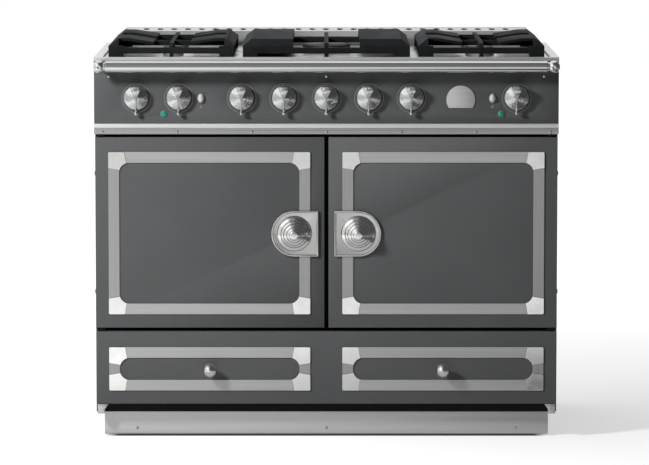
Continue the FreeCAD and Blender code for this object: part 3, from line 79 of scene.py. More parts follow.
class Finish:
    """One finish: a Principled shader and the nodes that vary it over the surface."""

    def __init__(self, name, sockets):
        self.material = bpy.data.materials.new(name)
        self.material.use_nodes = True
        self.tree = self.material.node_tree
        self.shader = self.tree.nodes["Principled BSDF"]
        for socket, value in sockets.items():
            self.shader.inputs[socket].default_value = value
        self.place = self.node("ShaderNodeTexCoord", {}, {}, "Object")

    def node(self, kind, settings, inputs, output=0):
        made = self.tree.nodes.new(kind)
        stops = settings.pop("stops", ())
        for setting, value in settings.items():
            setattr(made, setting, value)
        for index, (position, tone) in enumerate(stops):
            if index > 1:
                made.color_ramp.elements.new(position)
            made.color_ramp.elements[index].position = position
            made.color_ramp.elements[index].color = (*tone, 1.0)
        for key, value in inputs.items() if isinstance(inputs, dict) else enumerate(inputs):
            if isinstance(value, Wire):
                self.tree.links.new(value.socket, made.inputs[key])
            else:
                made.inputs[key].default_value = value
        return Wire(self, made.outputs[output])

    def stretched(self, stretch):
        return self.node("ShaderNodeMapping", {}, {"Vector": self.place, "Scale": stretch})

    def noise(self, per_metre, detail=3.0, rough=0.5, stretch=None):
        place = self.stretched(stretch) if stretch else self.place
        settings = {"Vector": place, "Scale": per_metre, "Detail": detail, "Roughness": rough}
        return self.node("ShaderNodeTexNoise", {}, settings)

    def cells(self, per_metre, output="Distance"):
        settings = {"Vector": self.place, "Scale": per_metre}
        return self.node("ShaderNodeTexVoronoi", {}, settings, output)

    def part(self, axis):
        """How far along one axis, X, Y or Z."""
        return self.node("ShaderNodeSeparateXYZ", {}, [self.place], axis)

    def ranged(self, wire, low, high, to_low, to_high):
        return self.node("ShaderNodeMapRange", {}, [wire, low, high, to_low, to_high])

    def tones(self, wire, *stops):
        return self.node("ShaderNodeValToRGB", {"stops": stops}, [wire])

    def mixed(self, factor, first, second):
        ends = {0: factor, 6: first, 7: second}
        return self.node("ShaderNodeMix", {"data_type": "RGBA"}, ends, 2)

    def set(self, socket, wire):
        self.tree.links.new(wire.socket, self.shader.inputs[socket])

    def coloured(self, wire, dark, light, low=0.3, high=0.7):
        """Base colour from dark to light as the wire goes from low to high."""
        self.set("Base Color", self.tones(wire, (low, dark), (high, light)))

    def dulled(self, wire, smooth, rough, low=0.3, high=0.7):
        """Roughness from smooth to rough as the wire goes from low to high."""
        self.set("Roughness", self.ranged(wire, low, high, smooth, rough))

    def bump(self, wire, depth, strength):
        inputs = {"Strength": strength, "Distance": depth, "Height": wire}
        self.set("Normal", self.node("ShaderNodeBump", {}, inputs))


def gap_shade_near_black():
    """Matt near-black with a fine grain, painted shade for the frames and hinge plates in the gaps.
    """
    finish = Finish("gap_shade_near_black", {"Roughness": 0.6, "Specular IOR Level": 0.15})
    finish.coloured(finish.noise(40.0), (0.005, 0.005, 0.006), (0.009, 0.009, 0.01))
    finish.bump(finish.noise(700.0, 2.0), 0.0001, 0.4)
    return finish.material


def galvanised_sheet():
    """Zinc-coated sheet: grey spangles of slightly different shine."""
    finish = Finish("galvanised_sheet", {"Metallic": 0.85})
    spangle = finish.node("ShaderNodeSeparateColor", {}, [finish.cells(85.0, "Color")])
    tone = spangle * 0.6 + finish.noise(12.0) * 0.4
    finish.coloured(tone, (0.4, 0.41, 0.42), (0.56, 0.57, 0.58), 0.2, 0.8)
    finish.dulled(spangle, 0.34, 0.5, 0.0, 1.0)
    finish.bump(finish.noise(300.0), 0.0002, 0.4)
    return finish.material


def dress(material, *nodes):
    """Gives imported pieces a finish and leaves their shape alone."""
    for node in nodes:
        piece = frame["nodes"][node]
        piece.data.materials.clear()
        piece.data.materials.append(material)
        for face in piece.data.polygons:
            face.material_index = 0


gap_shade_black = gap_shade_near_black()
galvanised = galvanised_sheet()
# The base frame and the front frame take the near-black of painted shade in the gaps.
dress(gap_shade_black, "base_frame", "front_frame")
dress(galvanised, "levelling_feet")


# Side panels and rear panel.
# The sides are single sheets enamelled in the cooker's grey, with their edges rolled over.
# The back is a plain galvanised sheet with louvre slots and holes for gas and cable.
GREY = (0.0665, 0.069, 0.0705)


def grey_enamel(name, painted_shade=1.0):
    """Stove enamel: an even grey with a faint ripple and slight clouding."""
    finish = Finish(name, {"Specular IOR Level": 0.28, "Coat Weight": 0.06, "Coat Roughness": 0.12})
    cloud = finish.noise(5.0, 2.0) * 0.7 + finish.noise(60.0, 3.0) * 0.3
    # painted_shade darkens the grey so that one copy of the enamel carries painted shade.
    dark = tuple(tone * 0.94 * painted_shade for tone in GREY)
    light = tuple(tone * 1.06 * painted_shade for tone in GREY)
    finish.coloured(cloud, dark, light)
    finish.dulled(finish.noise(35.0), 0.38, 0.48)
    finish.bump(finish.noise(240.0, 2.0), 0.00012, 0.35)
    return finish.material


def body_of(node):
    bodies = frame["record"]["behaviour"]["bodies"]
    return next(body for body, nodes in bodies.items() if node in nodes)


def slot_of(node):
    rows = frame["record"]["subparts"]
    return next(row["material_slot"] for row in rows if row["node"] == node)


def welded(node):
    """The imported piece's mesh as a bmesh, with its loose triangles joined and flat faces merged."""
    mesh = bmesh.new()
    mesh.from_mesh(frame["nodes"][node].data)
    bmesh.ops.remove_doubles(mesh, verts=mesh.verts, dist=1e-6)
    bmesh.ops.dissolve_limit(
        mesh, angle_limit=math.radians(1.0), verts=mesh.verts, edges=mesh.edges
    )
    return mesh


def piece_from(mesh, name, material):
    """Turns a bmesh into a smooth-shaded object at the origin."""
    data = bpy.data.meshes.new(name)
    mesh.to_mesh(data)
    mesh.free()
    for face in data.polygons:
        face.use_smooth = True
    piece = bpy.data.objects.new(name, data)
    bpy.context.scene.collection.objects.link(piece)
    data.materials.append(material)
    return piece


def edged(piece, width, segments=3, steep=30.0):
    """Rolls a piece's sharp edges, those that turn by more than the steep angle."""
    bevel = piece.modifiers.new("rolled edges", "BEVEL")
    bevel.width = width
    bevel.segments = segments
    bevel.limit_method = "ANGLE"
    bevel.angle_limit = math.radians(steep)
    bevel.harden_normals = True
    return bevel


def baked(piece):
    """Applies a piece's modifiers to its mesh."""
    evaluated = piece.evaluated_get(bpy.context.evaluated_depsgraph_get())
    mesh = bpy.data.meshes.new_from_object(evaluated)
    old = piece.data
    piece.modifiers.clear()
    piece.data = mesh
    bpy.data.meshes.remove(old)
    return piece


def seated(piece, node):
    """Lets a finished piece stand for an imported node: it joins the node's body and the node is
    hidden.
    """
    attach(piece, body_of(node))
    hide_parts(node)
    slot_of(node)


def rolled(node, material, width, segments):
    """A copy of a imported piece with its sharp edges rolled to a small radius."""
    piece = piece_from(welded(node), node + "_rolled", material)
    edged(piece, width, segments).miter_outer = "MITER_ARC"
    seated(baked(piece), node)


side_enamel = grey_enamel("side_enamel")
for side in ("left", "right"):
    rolled("side_panel_" + side, side_enamel, 0.0006, 2)
dress(galvanised, "rear_panel")


# Oven liners with their fan covers and seals.
# Pressed steel coated in speckled black vitreous enamel, fired to a gloss, with a braided
# glass-fibre seal clipped around each mouth.
def speckled_enamel():
    """Black vitreous enamel with fine pale specks."""
    finish = Finish("speckled_enamel", {"Coat Weight": 0.4, "Coat Roughness": 0.1})
    speck = finish.ranged(finish.cells(420.0), 0.1, 0.16, 1.0, 0.0)
    scattered = speck * finish.noise(150.0).math("GREATER_THAN", 0.52)
    black, pale = (0.012, 0.012, 0.014, 1), (0.3, 0.3, 0.32, 1)
    finish.set("Base Color", finish.mixed(scattered, black, pale))
    finish.dulled(finish.noise(18.0), 0.16, 0.3)
    finish.bump(finish.noise(110.0, 2.0), 0.0002, 0.4)
    return finish.material


def braided_seal():
    """Woven glass-fibre rope: crossed diagonal strands."""
    finish = Finish("braided_seal", {"Roughness": 0.85, "Sheen Weight": 0.3})
    wave = {"wave_type": "BANDS", "bands_direction": "DIAGONAL"}
    strands, crossed = (
        finish.node("ShaderNodeTexWave", wave, {"Vector": place, "Scale": 130.0})
        for place in (finish.place, finish.stretched((-1.0, 1.0, 1.0)))
    )
    weave = strands.math("MAXIMUM", crossed)
    finish.coloured(weave, (0.05, 0.05, 0.05), (0.2, 0.2, 0.19), 0.2, 0.9)
    finish.bump(weave, 0.0006, 0.8)
    return finish.material


oven_enamel = speckled_enamel()
dress(oven_enamel, "oven_liner_left", "oven_liner_right", "fan_covers")
rolled("oven_gaskets", braided_seal(), 0.0015, 4)


# Oven racks, ring elements and fans.
# Racks are chromed wire, the elements are sheathed in blued stainless tube, and each fan is a
# pressed aluminium wheel driven through the rear wall by a motor in a zinc-coated can.
def plated_wire():
    """Bright chromed wire, a little scuffed."""
    finish = Finish("plated_wire", {"Metallic": 1.0, "Base Color": (0.72, 0.72, 0.71, 1)})
    finish.dulled(finish.noise(90.0), 0.16, 0.34)
    finish.bump(finish.noise(700.0), 0.0001, 0.3)
    return finish.material


def heated_tube():
    """Stainless sheath that has turned brown and blue with heat."""
    finish = Finish("heated_tube", {"Metallic": 1.0, "Roughness": 0.35})
    tint = finish.noise(30.0, 2.0)
    stops = ((0.35, (0.2, 0.17, 0.14)), (0.5, (0.24, 0.16, 0.1)), (0.65, (0.12, 0.13, 0.18)))
    finish.set("Base Color", finish.tones(tint, *stops))
    finish.bump(finish.noise(500.0), 0.0001, 0.3)
    return finish.material


def cast_aluminium():
    """Bare aluminium with a sandy grain."""
    finish = Finish("cast_aluminium", {"Metallic": 0.9})
    grain = finish.noise(420.0, 4.0)
    finish.coloured(grain, (0.5, 0.5, 0.49), (0.66, 0.66, 0.65))
    finish.dulled(finish.noise(60.0), 0.36, 0.52)
    finish.bump(grain, 0.0003, 0.5)
    return finish.material


aluminium = cast_aluminium()
dress(plated_wire(), "oven_racks")
dress(heated_tube(), "oven_elements")
dress(aluminium, "fan_left", "fan_right")
dress(galvanised, "fan_motors")


# Oven doors: the enamelled pans, their inner panels and their hinge brackets.
# Each pan is pressed from one sheet with rolled edges, closed at the back by an inner panel in
# oven enamel, and hung on steel pins that stand on plates above and below it. The plates are
# coloured near-black as painted shade.
door_enamel = grey_enamel("door_enamel")
for side in ("left", "right"):
    rolled("door_" + side, door_enamel, 0.0028, 4)
    rolled(f"door_{side}_inner_panel", oven_enamel, 0.0012, 3)
rolled("hinge_brackets", gap_shade_black, 0.0006, 2)


# Frames on the doors: brushed strips with polished corner pieces.
# The strips are stainless, brushed along their length, and the four cast corner pieces with a
# round inner edge lap over their slanted ends. All of them are fixed from behind.
STRIP_WIDTH = 0.026
STRIP_PROUD = 0.0025
CORNER_PROUD = 0.0035
CORNER_LEG = 0.0385
CORNER_CURVE = 0.0235
CORNER_REACH = STRIP_WIDTH + CORNER_CURVE
CORNER_CUT = math.radians(16)
CORNER_ROUND = 0.0035
TRIM_EDGE = 0.0007


def brushed_steel(name, along, tone, roughness=0.34, metallic=0.72):
    """Stainless brushed along one axis: fine streaks in its tone, shine and surface."""
    finish = Finish(name, {"Metallic": metallic})
    across = {"x": (2.0, 900.0, 900.0), "z": (900.0, 900.0, 2.0)}[along]
    streak = finish.noise(1.0, 4.0, 0.6, across)
    broad = tuple(scale * 0.12 if scale > 2.0 else scale for scale in across)
    band = finish.noise(1.0, 2.0, 0.5, broad)
    mask = streak * 0.6 + band * 0.4
    low = (tone * 0.86, tone * 0.87, tone * 0.86)
    high = (tone * 1.1, tone * 1.11, tone * 1.1)
    finish.coloured(mask, low, high)
    finish.dulled(mask, roughness - 0.06, roughness + 0.08)
    finish.bump(streak, 0.00008, 0.35)
    return finish.material


def polished_metal(name, tone, roughness, metallic=1.0):
    """Polished plate with faint haze and hairlines."""
    finish = Finish(name, {"Metallic": metallic, "Base Color": (tone, tone, tone * 0.99, 1)})
    finish.dulled(finish.noise(40.0, 3.0), roughness, roughness + 0.07, 0.35)
    finish.bump(finish.noise(60.0, 2.0), 0.00015, 0.15)
    return finish.material


def loft(rings):
    """A closed solid through matching rings of corners, flat at both ends."""
    mesh = bmesh.new()
    rows = [[mesh.verts.new(corner) for corner in ring] for ring in rings]
    mesh.faces.new(rows[0])
    mesh.faces.new(rows[-1])
    for lower, upper in zip(rows, rows[1:]):
        for index in range(len(lower)):
            after = (index + 1) % len(lower)
            mesh.faces.new((lower[index], lower[after], upper[after], upper[index]))
    bmesh.ops.recalc_face_normals(mesh, faces=mesh.faces)
    return mesh


def prism(outline, back, front):
    """A plate with an outline in x and z, from its back face to its front face."""
    return loft([[(x, y, z) for x, z in outline] for y in (back, front)])


def merged(meshes):
    """Several bmeshes as one."""
    whole = meshes[0]
    for other in meshes[1:]:
        data = bpy.data.meshes.new("part")
        other.to_mesh(data)
        other.free()
        whole.from_mesh(data)
        bpy.data.meshes.remove(data)
    return whole


def inner_curve(x, z, inward, upward, start, end, steps):
    """Points on a corner's round inner edge. The turn grows towards the upright strip."""
    points = []
    for step in range(steps + 1):
        turn = start + (end - start) * step / steps
        points.append((
            x + inward * (CORNER_REACH - CORNER_CURVE * math.sin(turn)),
            z + upward * (CORNER_REACH - CORNER_CURVE * math.cos(turn)),
        ))
    return points


def corner_outline(x, z, inward, upward):
    """A corner piece from its outer corner, with slanted ends and a round inner edge."""
    curve = inner_curve(x, z, inward, upward, CORNER_CUT, math.pi / 2 - CORNER_CUT, 10)
    outer = []
    for step in range(5):
        turn = math.pi / 2 * step / 4
        outer.append((
            x + inward * CORNER_ROUND * (1 - math.cos(turn)),
            z + upward * CORNER_ROUND * (1 - math.sin(turn)),
        ))
    return curve + [(x, z + upward * CORNER_LEG)] + outer + [(x + inward * CORNER_LEG, z)]


def add_frame(name, node, low_x, low_z, high_x, high_z, face):
    """One frame's level strips, upright strips and corners: three pieces that replace a node."""
    level, upright, corners = [], [], []
    for z, upward in ((low_z, 1), (high_z, -1)):
        near = inner_curve(low_x, z, 1, upward, 0.0, CORNER_CUT, 3)
        far = inner_curve(high_x, z, -1, upward, 0.0, CORNER_CUT, 3)
        outline = [(low_x + CORNER_LEG, z), (high_x - CORNER_LEG, z)] + far[::-1] + near
        level.append(prism(outline, face, face - STRIP_PROUD))
    start, end = math.pi / 2 - CORNER_CUT, math.pi / 2
    for x, inward in ((low_x, 1), (high_x, -1)):
        low_end = inner_curve(x, low_z, inward, 1, start, end, 3)
        high_end = inner_curve(x, high_z, inward, -1, start, end, 3)
        outline = [(x, low_z + CORNER_LEG), (x, high_z - CORNER_LEG)] + high_end + low_end[::-1]
        upright.append(prism(outline, face, face - STRIP_PROUD))
        for z, upward in ((low_z, 1), (high_z, -1)):
            outline = corner_outline(x, z, inward, upward)
            corners.append(prism(outline, face, face - CORNER_PROUD))
    for part, meshes, material in (
        ("level_strips", level, level_steel),
        ("upright_strips", upright, shaded_upright_steel),
        ("corners", corners, corner_polish),
    ):
        piece = piece_from(merged(meshes), f"{name}_{part}", material)
        edged(piece, TRIM_EDGE)
        seated(baked(piece), node)


# The upright strips are the same stainless as the level ones with a darker tone: painted shade for
# how the light falls on them.
level_steel = brushed_steel("strip_steel_level", "x", 0.47)
shaded_upright_steel = brushed_steel("strip_steel_upright", "z", 0.37)
corner_polish = polished_metal("corner_polish", 0.88, 0.14)
for side in ("left", "right"):
    node = f"door_{side}_trim"
    low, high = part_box(node)
    add_frame(node, node, low.x, low.z, high.x, high.z, high.y)


# Door plates and door knobs.
# A D-shaped polished plate with a raised rim stands on each door, over the inner strip. The
# knob is one turned piece of stepped rings, and its spindle runs through plate and door.
def softened(profile, radius, steps):
    """Rounds each inner corner of a (radius, height) profile."""
    soft = [profile[0]]
    for before, here, after in zip(profile, profile[1:], profile[2:]):
        a, b, c = Vector(before), Vector(here), Vector(after)
        reach = min(radius, (a - b).length * 0.45, (c - b).length * 0.45)
        start = b + (a - b).normalized() * reach
        end = b + (c - b).normalized() * reach
        for step in range(steps + 1):
            share = step / steps
            point = start.lerp(b, share).lerp(b.lerp(end, share), share)
            soft.append(tuple(point))
    soft.append(profile[-1])
    return soft


def lathed(profile, segments):
    """A closed turned mesh about Z. Its profile ends on the axis or where it starts."""
    mesh = bmesh.new()
    rings = []
    for radius, height in profile:
        if radius < 1e-7:
            rings.append([mesh.verts.new((0, 0, height))])
            continue
        ring = []
        for index in range(segments):
            turn = 2 * math.pi * index / segments
            corner = (radius * math.cos(turn), radius * math.sin(turn), height)
            ring.append(mesh.verts.new(corner))
        rings.append(ring)
    for lower, upper in zip(rings, rings[1:]):
        for index in range(segments):
            after = (index + 1) % segments
            corners = [
                lower[index % len(lower)], lower[after % len(lower)],
                upper[after % len(upper)], upper[index % len(upper)],
            ]
            face = list(dict.fromkeys(corners))
            if len(face) > 2:
                mesh.faces.new(face)
    bmesh.ops.remove_doubles(mesh, verts=mesh.verts, dist=1e-6)
    bmesh.ops.recalc_face_normals(mesh, faces=mesh.faces)
    return mesh


def rod(radius, start, end, segments):
    """A plain round rod about Z."""
    return lathed([(0.0, start), (radius, start), (radius, end), (0.0, end)], segments)


def placed(mesh, *moves):
    """Moves a bmesh by a product of matrices. A plain point counts as a shift."""
    whole = Matrix.Identity(4)
    for move in moves:
        whole = whole @ (move if isinstance(move, Matrix) else Matrix.Translation(move))
    bmesh.ops.transform(mesh, matrix=whole, verts=mesh.verts)
    return mesh


def add_creased(node, name, material, angle, meshes):
    """One piece from some bmeshes, with edges where it turns by more than the angle."""
    piece = piece_from(merged(meshes), name, material)
    piece.data.set_sharp_from_angle(angle=math.radians(angle))
    seated(piece, node)


FORWARD = Matrix.Rotation(math.radians(90), 4, "X")
door_polish = polished_metal("door_plate_polish", 0.55, 0.09)
door_knob_polish = polished_metal("door_knob_polish", 0.74, 0.09)
# Radius and height at each step, from the plate to the face.
KNOB_STEPS = (
    (0.0, 0.0), (0.04, 0.0), (0.042, 0.002), (0.0418, 0.006), (0.0395, 0.0095), (0.0345, 0.0125),
    (0.0325, 0.0135), (0.0325, 0.0155), (0.0312, 0.019), (0.0275, 0.0222), (0.026, 0.023),
    (0.026, 0.025), (0.0247, 0.0285), (0.0205, 0.0315), (0.0188, 0.0322), (0.0188, 0.0342),
    (0.0176, 0.0374), (0.0145, 0.0398), (0.0125, 0.0405), (0.0125, 0.0422), (0.0115, 0.0443),
    (0.0085, 0.0455), (0.0, 0.046),
)
SPINDLE_RADIUS = 0.007
SPINDLE_BACK = 0.03
CAM_HALF = 0.006
CAM_TOP = 0.034
CAM_FRONT = 0.0305
CAM_BACK = 0.0355
for side in ("left", "right"):
    rolled(f"door_{side}_plate", door_polish, 0.0009, 4)
    node = f"door_{side}_knob"
    low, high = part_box(node)
    middle = ((low.x + high.x) / 2, low.y + KNOB_STEPS[-1][1], (low.z + high.z) / 2)
    cam = [
        (-CAM_HALF, -SPINDLE_RADIUS), (CAM_HALF, -SPINDLE_RADIUS),
        (CAM_HALF, CAM_TOP), (-CAM_HALF, CAM_TOP),
    ]
    add_creased(node, f"door_{side}_turning_knob", door_knob_polish, 40, [
        placed(lathed(softened(KNOB_STEPS, 0.0007, 2), 96), middle, FORWARD),
        placed(rod(SPINDLE_RADIUS, -SPINDLE_BACK, 0.0005, 32), middle, FORWARD),
        placed(prism(cam, CAM_BACK, CAM_FRONT), middle),
    ])


# Drawer: its front with two frames and two ball knobs, its box and its runners.
# The front is pressed and enamelled like the doors. The box and the runners are zinc-coated
# steel, and each knob is a chromed ball turned in one piece with its neck and foot.
dress(galvanised, "drawer_box", "drawer_runners")
rolled("drawer_front", grey_enamel("drawer_enamel"), 0.0028, 4)
low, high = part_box("drawer_trim")
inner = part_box("door_right_trim")[0].x
add_frame("drawer_left_frame", "drawer_trim", low.x, low.z, -inner, high.z, high.y)
add_frame("drawer_right_frame", "drawer_trim", inner, low.z, high.x, high.z, high.y)


def mirror_chrome(name, tone, ripple=0.00012, roughness=0.04):
    """Chrome plate: bright, slightly blue, with the faintest smears and ripples."""
    finish = Finish(name, {"Metallic": 1.0, "Base Color": (tone, tone * 1.01, tone * 1.02, 1)})
    finish.dulled(finish.noise(55.0, 4.0), roughness, roughness + 0.06, 0.4, 0.75)
    finish.bump(finish.noise(140.0, 2.0), ripple, 0.12)
    return finish.material


def ball_profile(radius, middle=0.0, first=0, steps=24):
    """Profile points on a ball, from the first of the steps up to its top on the axis."""
    turns = [math.pi * step / steps for step in range(first, steps)]
    points = [(radius * math.sin(turn), middle - radius * math.cos(turn)) for turn in turns]
    return points + [(0.0, middle + radius)]


chrome = mirror_chrome("rail_chrome", 0.68)
BALL_REACH = 0.2765
BALL_RADIUS = 0.0165
BALL_MIDDLE = 0.03
BALL_FOOT = [
    (0.0, 0.0), (0.011, 0.0), (0.011, 0.0018), (0.0085, 0.0034), (0.0062, 0.0045),
    (0.0058, 0.012),
]
low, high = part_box("drawer_knobs")
ball_knob = BALL_FOOT + ball_profile(BALL_RADIUS, BALL_MIDDLE, 3)
add_creased("drawer_knobs", "drawer_ball_knobs", chrome, 40, [
    placed(lathed(ball_knob, 48), (x, high.y, (low.z + high.z) / 2), FORWARD)
    for x in (-BALL_REACH, BALL_REACH)
])


# Control panel with its moulding, blank plate, buttons, dial rings and lamps.
# The panel is a pressed pan enamelled like the doors. The moulding under it is a stainless
# bead over a flat face. Oval push buttons and green glass lamps in chrome rings are let in.
# The panel's enamel is the doors' enamel at 0.9 of its tone: painted shade.
rolled("control_panel", grey_enamel("panel_enamel", 0.9), 0.0014, 3)
panel_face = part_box("control_panel")[0].y
rolled("badge_plate", brushed_steel("blank_plate_steel", "x", 0.5, 0.3), 0.0006, 3)


def domed(radius, foot, shoulder, top, steps):
    """Profile of a closed cap: straight from its foot to the shoulder, then round to the top."""
    points = [(0.0, foot), (radius, foot), (radius, shoulder)]
    for step in range(1, steps):
        turn = math.pi / 2 * step / steps
        points.append((radius * math.cos(turn), shoulder + (top - shoulder) * math.sin(turn)))
    return points + [(0.0, top)]


BEAD = 0.0095
BEAD_STEP = 0.0009
UNDER_BEAD = 0.0005
FOOT_BEND = 0.0012
low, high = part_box("panel_trim")
behind = panel_face + 0.001
bead = [(behind, high.z - BEAD), (behind, high.z)]
for step in range(11):
    turn = math.pi / 2 * step / 10
    forward = (low.y - panel_face) * math.sin(turn)
    bead.append((panel_face + forward, high.z - BEAD * (1 - math.cos(turn))))
face = low.y + BEAD_STEP
flat = [
    (high.y, low.z), (high.y, high.z - UNDER_BEAD), (behind, high.z - UNDER_BEAD),
    (face, high.z - BEAD), (face, low.z + FOOT_BEND), (face + FOOT_BEND, low.z),
]
# The bead is the same stainless as the flat face, given a lighter tone and less metal: a painted
# highlight along its rounded top.
for name, section, material in (
    ("moulding_bead", bead, brushed_steel("painted_highlight_bead_steel", "x", 0.58, 0.3, 0.35)),
    ("moulding_face", flat, brushed_steel("moulding_steel", "x", 0.45, 0.3)),
):
    bar = loft([[(x, y, z) for y, z in section] for x in (low.x, high.x)])
    add_creased("panel_trim", name, material, 35, [bar])

BUTTON_STEM = 0.003
CAP_BACK = 0.002
button_polish = polished_metal("button_polish", 0.5, 0.2, 0.4)
for node in ("button_left", "button_right"):
    low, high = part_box(node)
    wide, tall = high.x - low.x, high.z - low.z
    middle = ((low.x + high.x) / 2, panel_face, (low.z + high.z) / 2)
    oval = Matrix.Diagonal((1.0, tall / wide, 1.0, 1.0))
    rise = panel_face - low.y
    cap = domed(wide / 2, -CAP_BACK, rise * 0.25, rise, 10)
    add_creased(node, node + "_cap", button_polish, 50, [
        placed(lathed(cap, 48), middle, FORWARD, oval),
        placed(rod(BUTTON_STEM, panel_face - high.y, -0.001, 20), middle, FORWARD),
    ])


def green_jewel():
    """Moulded green glass, a little cloudy inside."""
    settings = {"Roughness": 0.25, "Coat Weight": 0.3, "Coat Roughness": 0.05}
    finish = Finish("green_jewel", settings)
    finish.coloured(finish.noise(260.0, 2.0), (0.0, 0.13, 0.085), (0.003, 0.24, 0.16))
    finish.bump(finish.cells(330.0), 0.0004, 0.3)
    return finish.material


ring_steel = polished_metal("dial_ring_steel", 0.2, 0.35, 0.6)
RING = (
    (0.0335, -0.0007), (0.035, -0.0007), (0.035, -0.0001), (0.0335, -0.0001), (0.0335, -0.0007),
)
DOT = ((0.0, -0.0005), (0.0034, -0.0005), (0.0034, 0.0004), (0.0, 0.0007))
DOT_DROP = 0.0205
control_knobs = [
    node for node in frame["nodes"]
    if (node.endswith("_knob") or "_knob_" in node) and not node.startswith("door")
]
dials = [(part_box(node), RING, 0.0) for node in control_knobs]
dials += [(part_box(node), DOT, DOT_DROP) for node in ("button_left", "button_right")]
low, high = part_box("button_left")
dial_height = (low.z + high.z) / 2
marks = [
    placed(lathed(profile, 64), ((low.x + high.x) / 2, panel_face, dial_height - drop), FORWARD)
    for (low, high), profile, drop in dials
]
piece = piece_from(merged(marks), "dial_rings_and_dots", ring_steel)
piece.data.set_sharp_from_angle(angle=math.radians(40))
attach(piece, body_of("control_panel"))
slot_of("control_panel")

LAMP_RADIUS = 0.008
JEWEL = (
    (0.0, 0.0), (0.0073, 0.0), (0.0073, 0.0018), (0.0064, 0.0036), (0.004, 0.005), (0.0, 0.0055),
)
LAMP_RING = (
    (0.0071, 0.0), (LAMP_RADIUS, 0.0), (LAMP_RADIUS, 0.001), (0.0076, 0.0016),
    (0.0071, 0.0014), (0.0071, 0.0),
)
low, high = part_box("indicator_lamps")
height = (low.z + high.z) / 2
for name, profile, material in (
    ("lamp_jewels", JEWEL, green_jewel()), ("lamp_rings", LAMP_RING, chrome),
):
    pair = [
        placed(lathed(softened(profile, 0.0005, 3), 40), (x, panel_face, height), FORWARD)
        for x in (low.x + LAMP_RADIUS, high.x - LAMP_RADIUS)
    ]
    seated(piece_from(merged(pair), name, material), "indicator_lamps")


# Front screws: small slotted round heads in stainless.
# Seven hold the moulding, three the panel and three the plinth. Each has a cut slot that
# points its own way, as driven screws do.
class Tree:
    """A Geometry Nodes group with named inputs, and a small way to add and link its nodes."""

    def __init__(self, name):
        self.group = bpy.data.node_groups.new(name, "GeometryNodeTree")
        self.socket("Geometry", "INPUT", "Geometry")
        self.socket("Geometry", "OUTPUT", "Geometry")
        self.entry = self.group.nodes.new("NodeGroupInput")
        self.exit = self.group.nodes.new("NodeGroupOutput")
        self.given = {}

    def socket(self, name, way, kind):
        sockets = self.group.interface
        return sockets.new_socket(name, in_out=way, socket_type="NodeSocket" + kind)

    def asks(self, name, kind, value):
        """A named input of the group, its kind of socket and the value it is given."""
        self.given[self.socket(name, "INPUT", kind).identifier] = value
        return self.entry.outputs[name]

    def add(self, kind, inputs, settings=None, output=0):
        made = self.group.nodes.new(kind)
        for setting, value in (settings or {}).items():
            setattr(made, setting, value)
        for key, value in inputs.items():
            if isinstance(value, bpy.types.NodeSocket):
                self.group.links.new(value, made.inputs[key])
            else:
                made.inputs[key].default_value = value
        return made.outputs[output]

    def grown(self, source, name, material):
        """Runs the group on a mesh of points and gives the result as a plain mesh piece."""
        whole = self.add("GeometryNodeRealizeInstances", {"Geometry": source})
        coated = self.add("GeometryNodeSetMaterial", {"Geometry": whole, "Material": material})
        self.group.links.new(coated, self.exit.inputs[0])
        data = bpy.data.meshes.new(name)
        piece = bpy.data.objects.new(name, data)
        bpy.context.scene.collection.objects.link(piece)
        modifier = piece.modifiers.new("grown", "NODES")
        modifier.node_group = self.group
        for identifier, value in self.given.items():
            modifier[identifier] = value
        return baked(piece)


def cut_by(piece, cutter):
    """Cuts one piece out of another and removes the cutter."""
    modifier = piece.modifiers.new("cut", "BOOLEAN")
    modifier.object = cutter
    modifier.solver = "EXACT"
    baked(piece)
    bpy.data.objects.remove(cutter)


screw_steel = polished_metal("screw_steel", 0.5, 0.22)
HEAD_RADIUS = 0.0032
HEAD_RISE = 0.0016
SLOT_WIDTH = 0.0009
SLOT_DEPTH = 0.0007
head_profile = domed(HEAD_RADIUS, 0.0, HEAD_RISE * 0.3, HEAD_RISE, 6)
head = piece_from(lathed(head_profile, 24), "screw_head", screw_steel)
slot = bmesh.new()
bmesh.ops.create_cube(slot, size=1.0)
size = Matrix.Diagonal((HEAD_RADIUS * 3, SLOT_WIDTH, SLOT_DEPTH * 2, 1.0))
placed(slot, (0, 0, HEAD_RISE), size)
cut_by(head, piece_from(slot, "screw_slot", screw_steel))


def screw_row(name, count, start, gap, seed):
    """A row of screw heads along X, facing forward, each turned its own way."""
    row = Tree(name)
    line = row.add("GeometryNodeMeshLine", {
        "Count": row.asks("Count", "Int", count),
        "Start Location": row.asks("Start", "Vector", start),
        "Offset": row.asks("Gap", "Vector", (gap, 0.0, 0.0)),
    })
    screw = {"Object": row.asks("Screw", "Object", head)}
    single = row.add("GeometryNodeObjectInfo", screw, None, "Geometry")
    spin = row.add("FunctionNodeRandomValue", {
        "Min": (math.pi / 2, 0, 0),
        "Max": (math.pi / 2, math.pi, 0),
        "Seed": row.asks("Seed", "Int", seed),
    }, {"data_type": "FLOAT_VECTOR"})
    spots = {"Points": line, "Instance": single, "Rotation": spin}
    points = row.add("GeometryNodeInstanceOnPoints", spots)
    return row.grown(points, name, screw_steel)


for name, holds, count, reach, height, seed in (
    ("moulding_screws", "panel_trim", 7, 0.53, 0.7355, 3),
    ("panel_screws", "control_panel", 3, 0.515, 0.866, 8),
    ("plinth_screws", "plinth", 3, 0.453, 0.02, 21),
):
    gap = 2 * reach / (count - 1)
    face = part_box(holds)[0].y
    seated(screw_row(name, count, (-reach, face, height), gap, seed), "front_screws")
bpy.data.objects.remove(head)


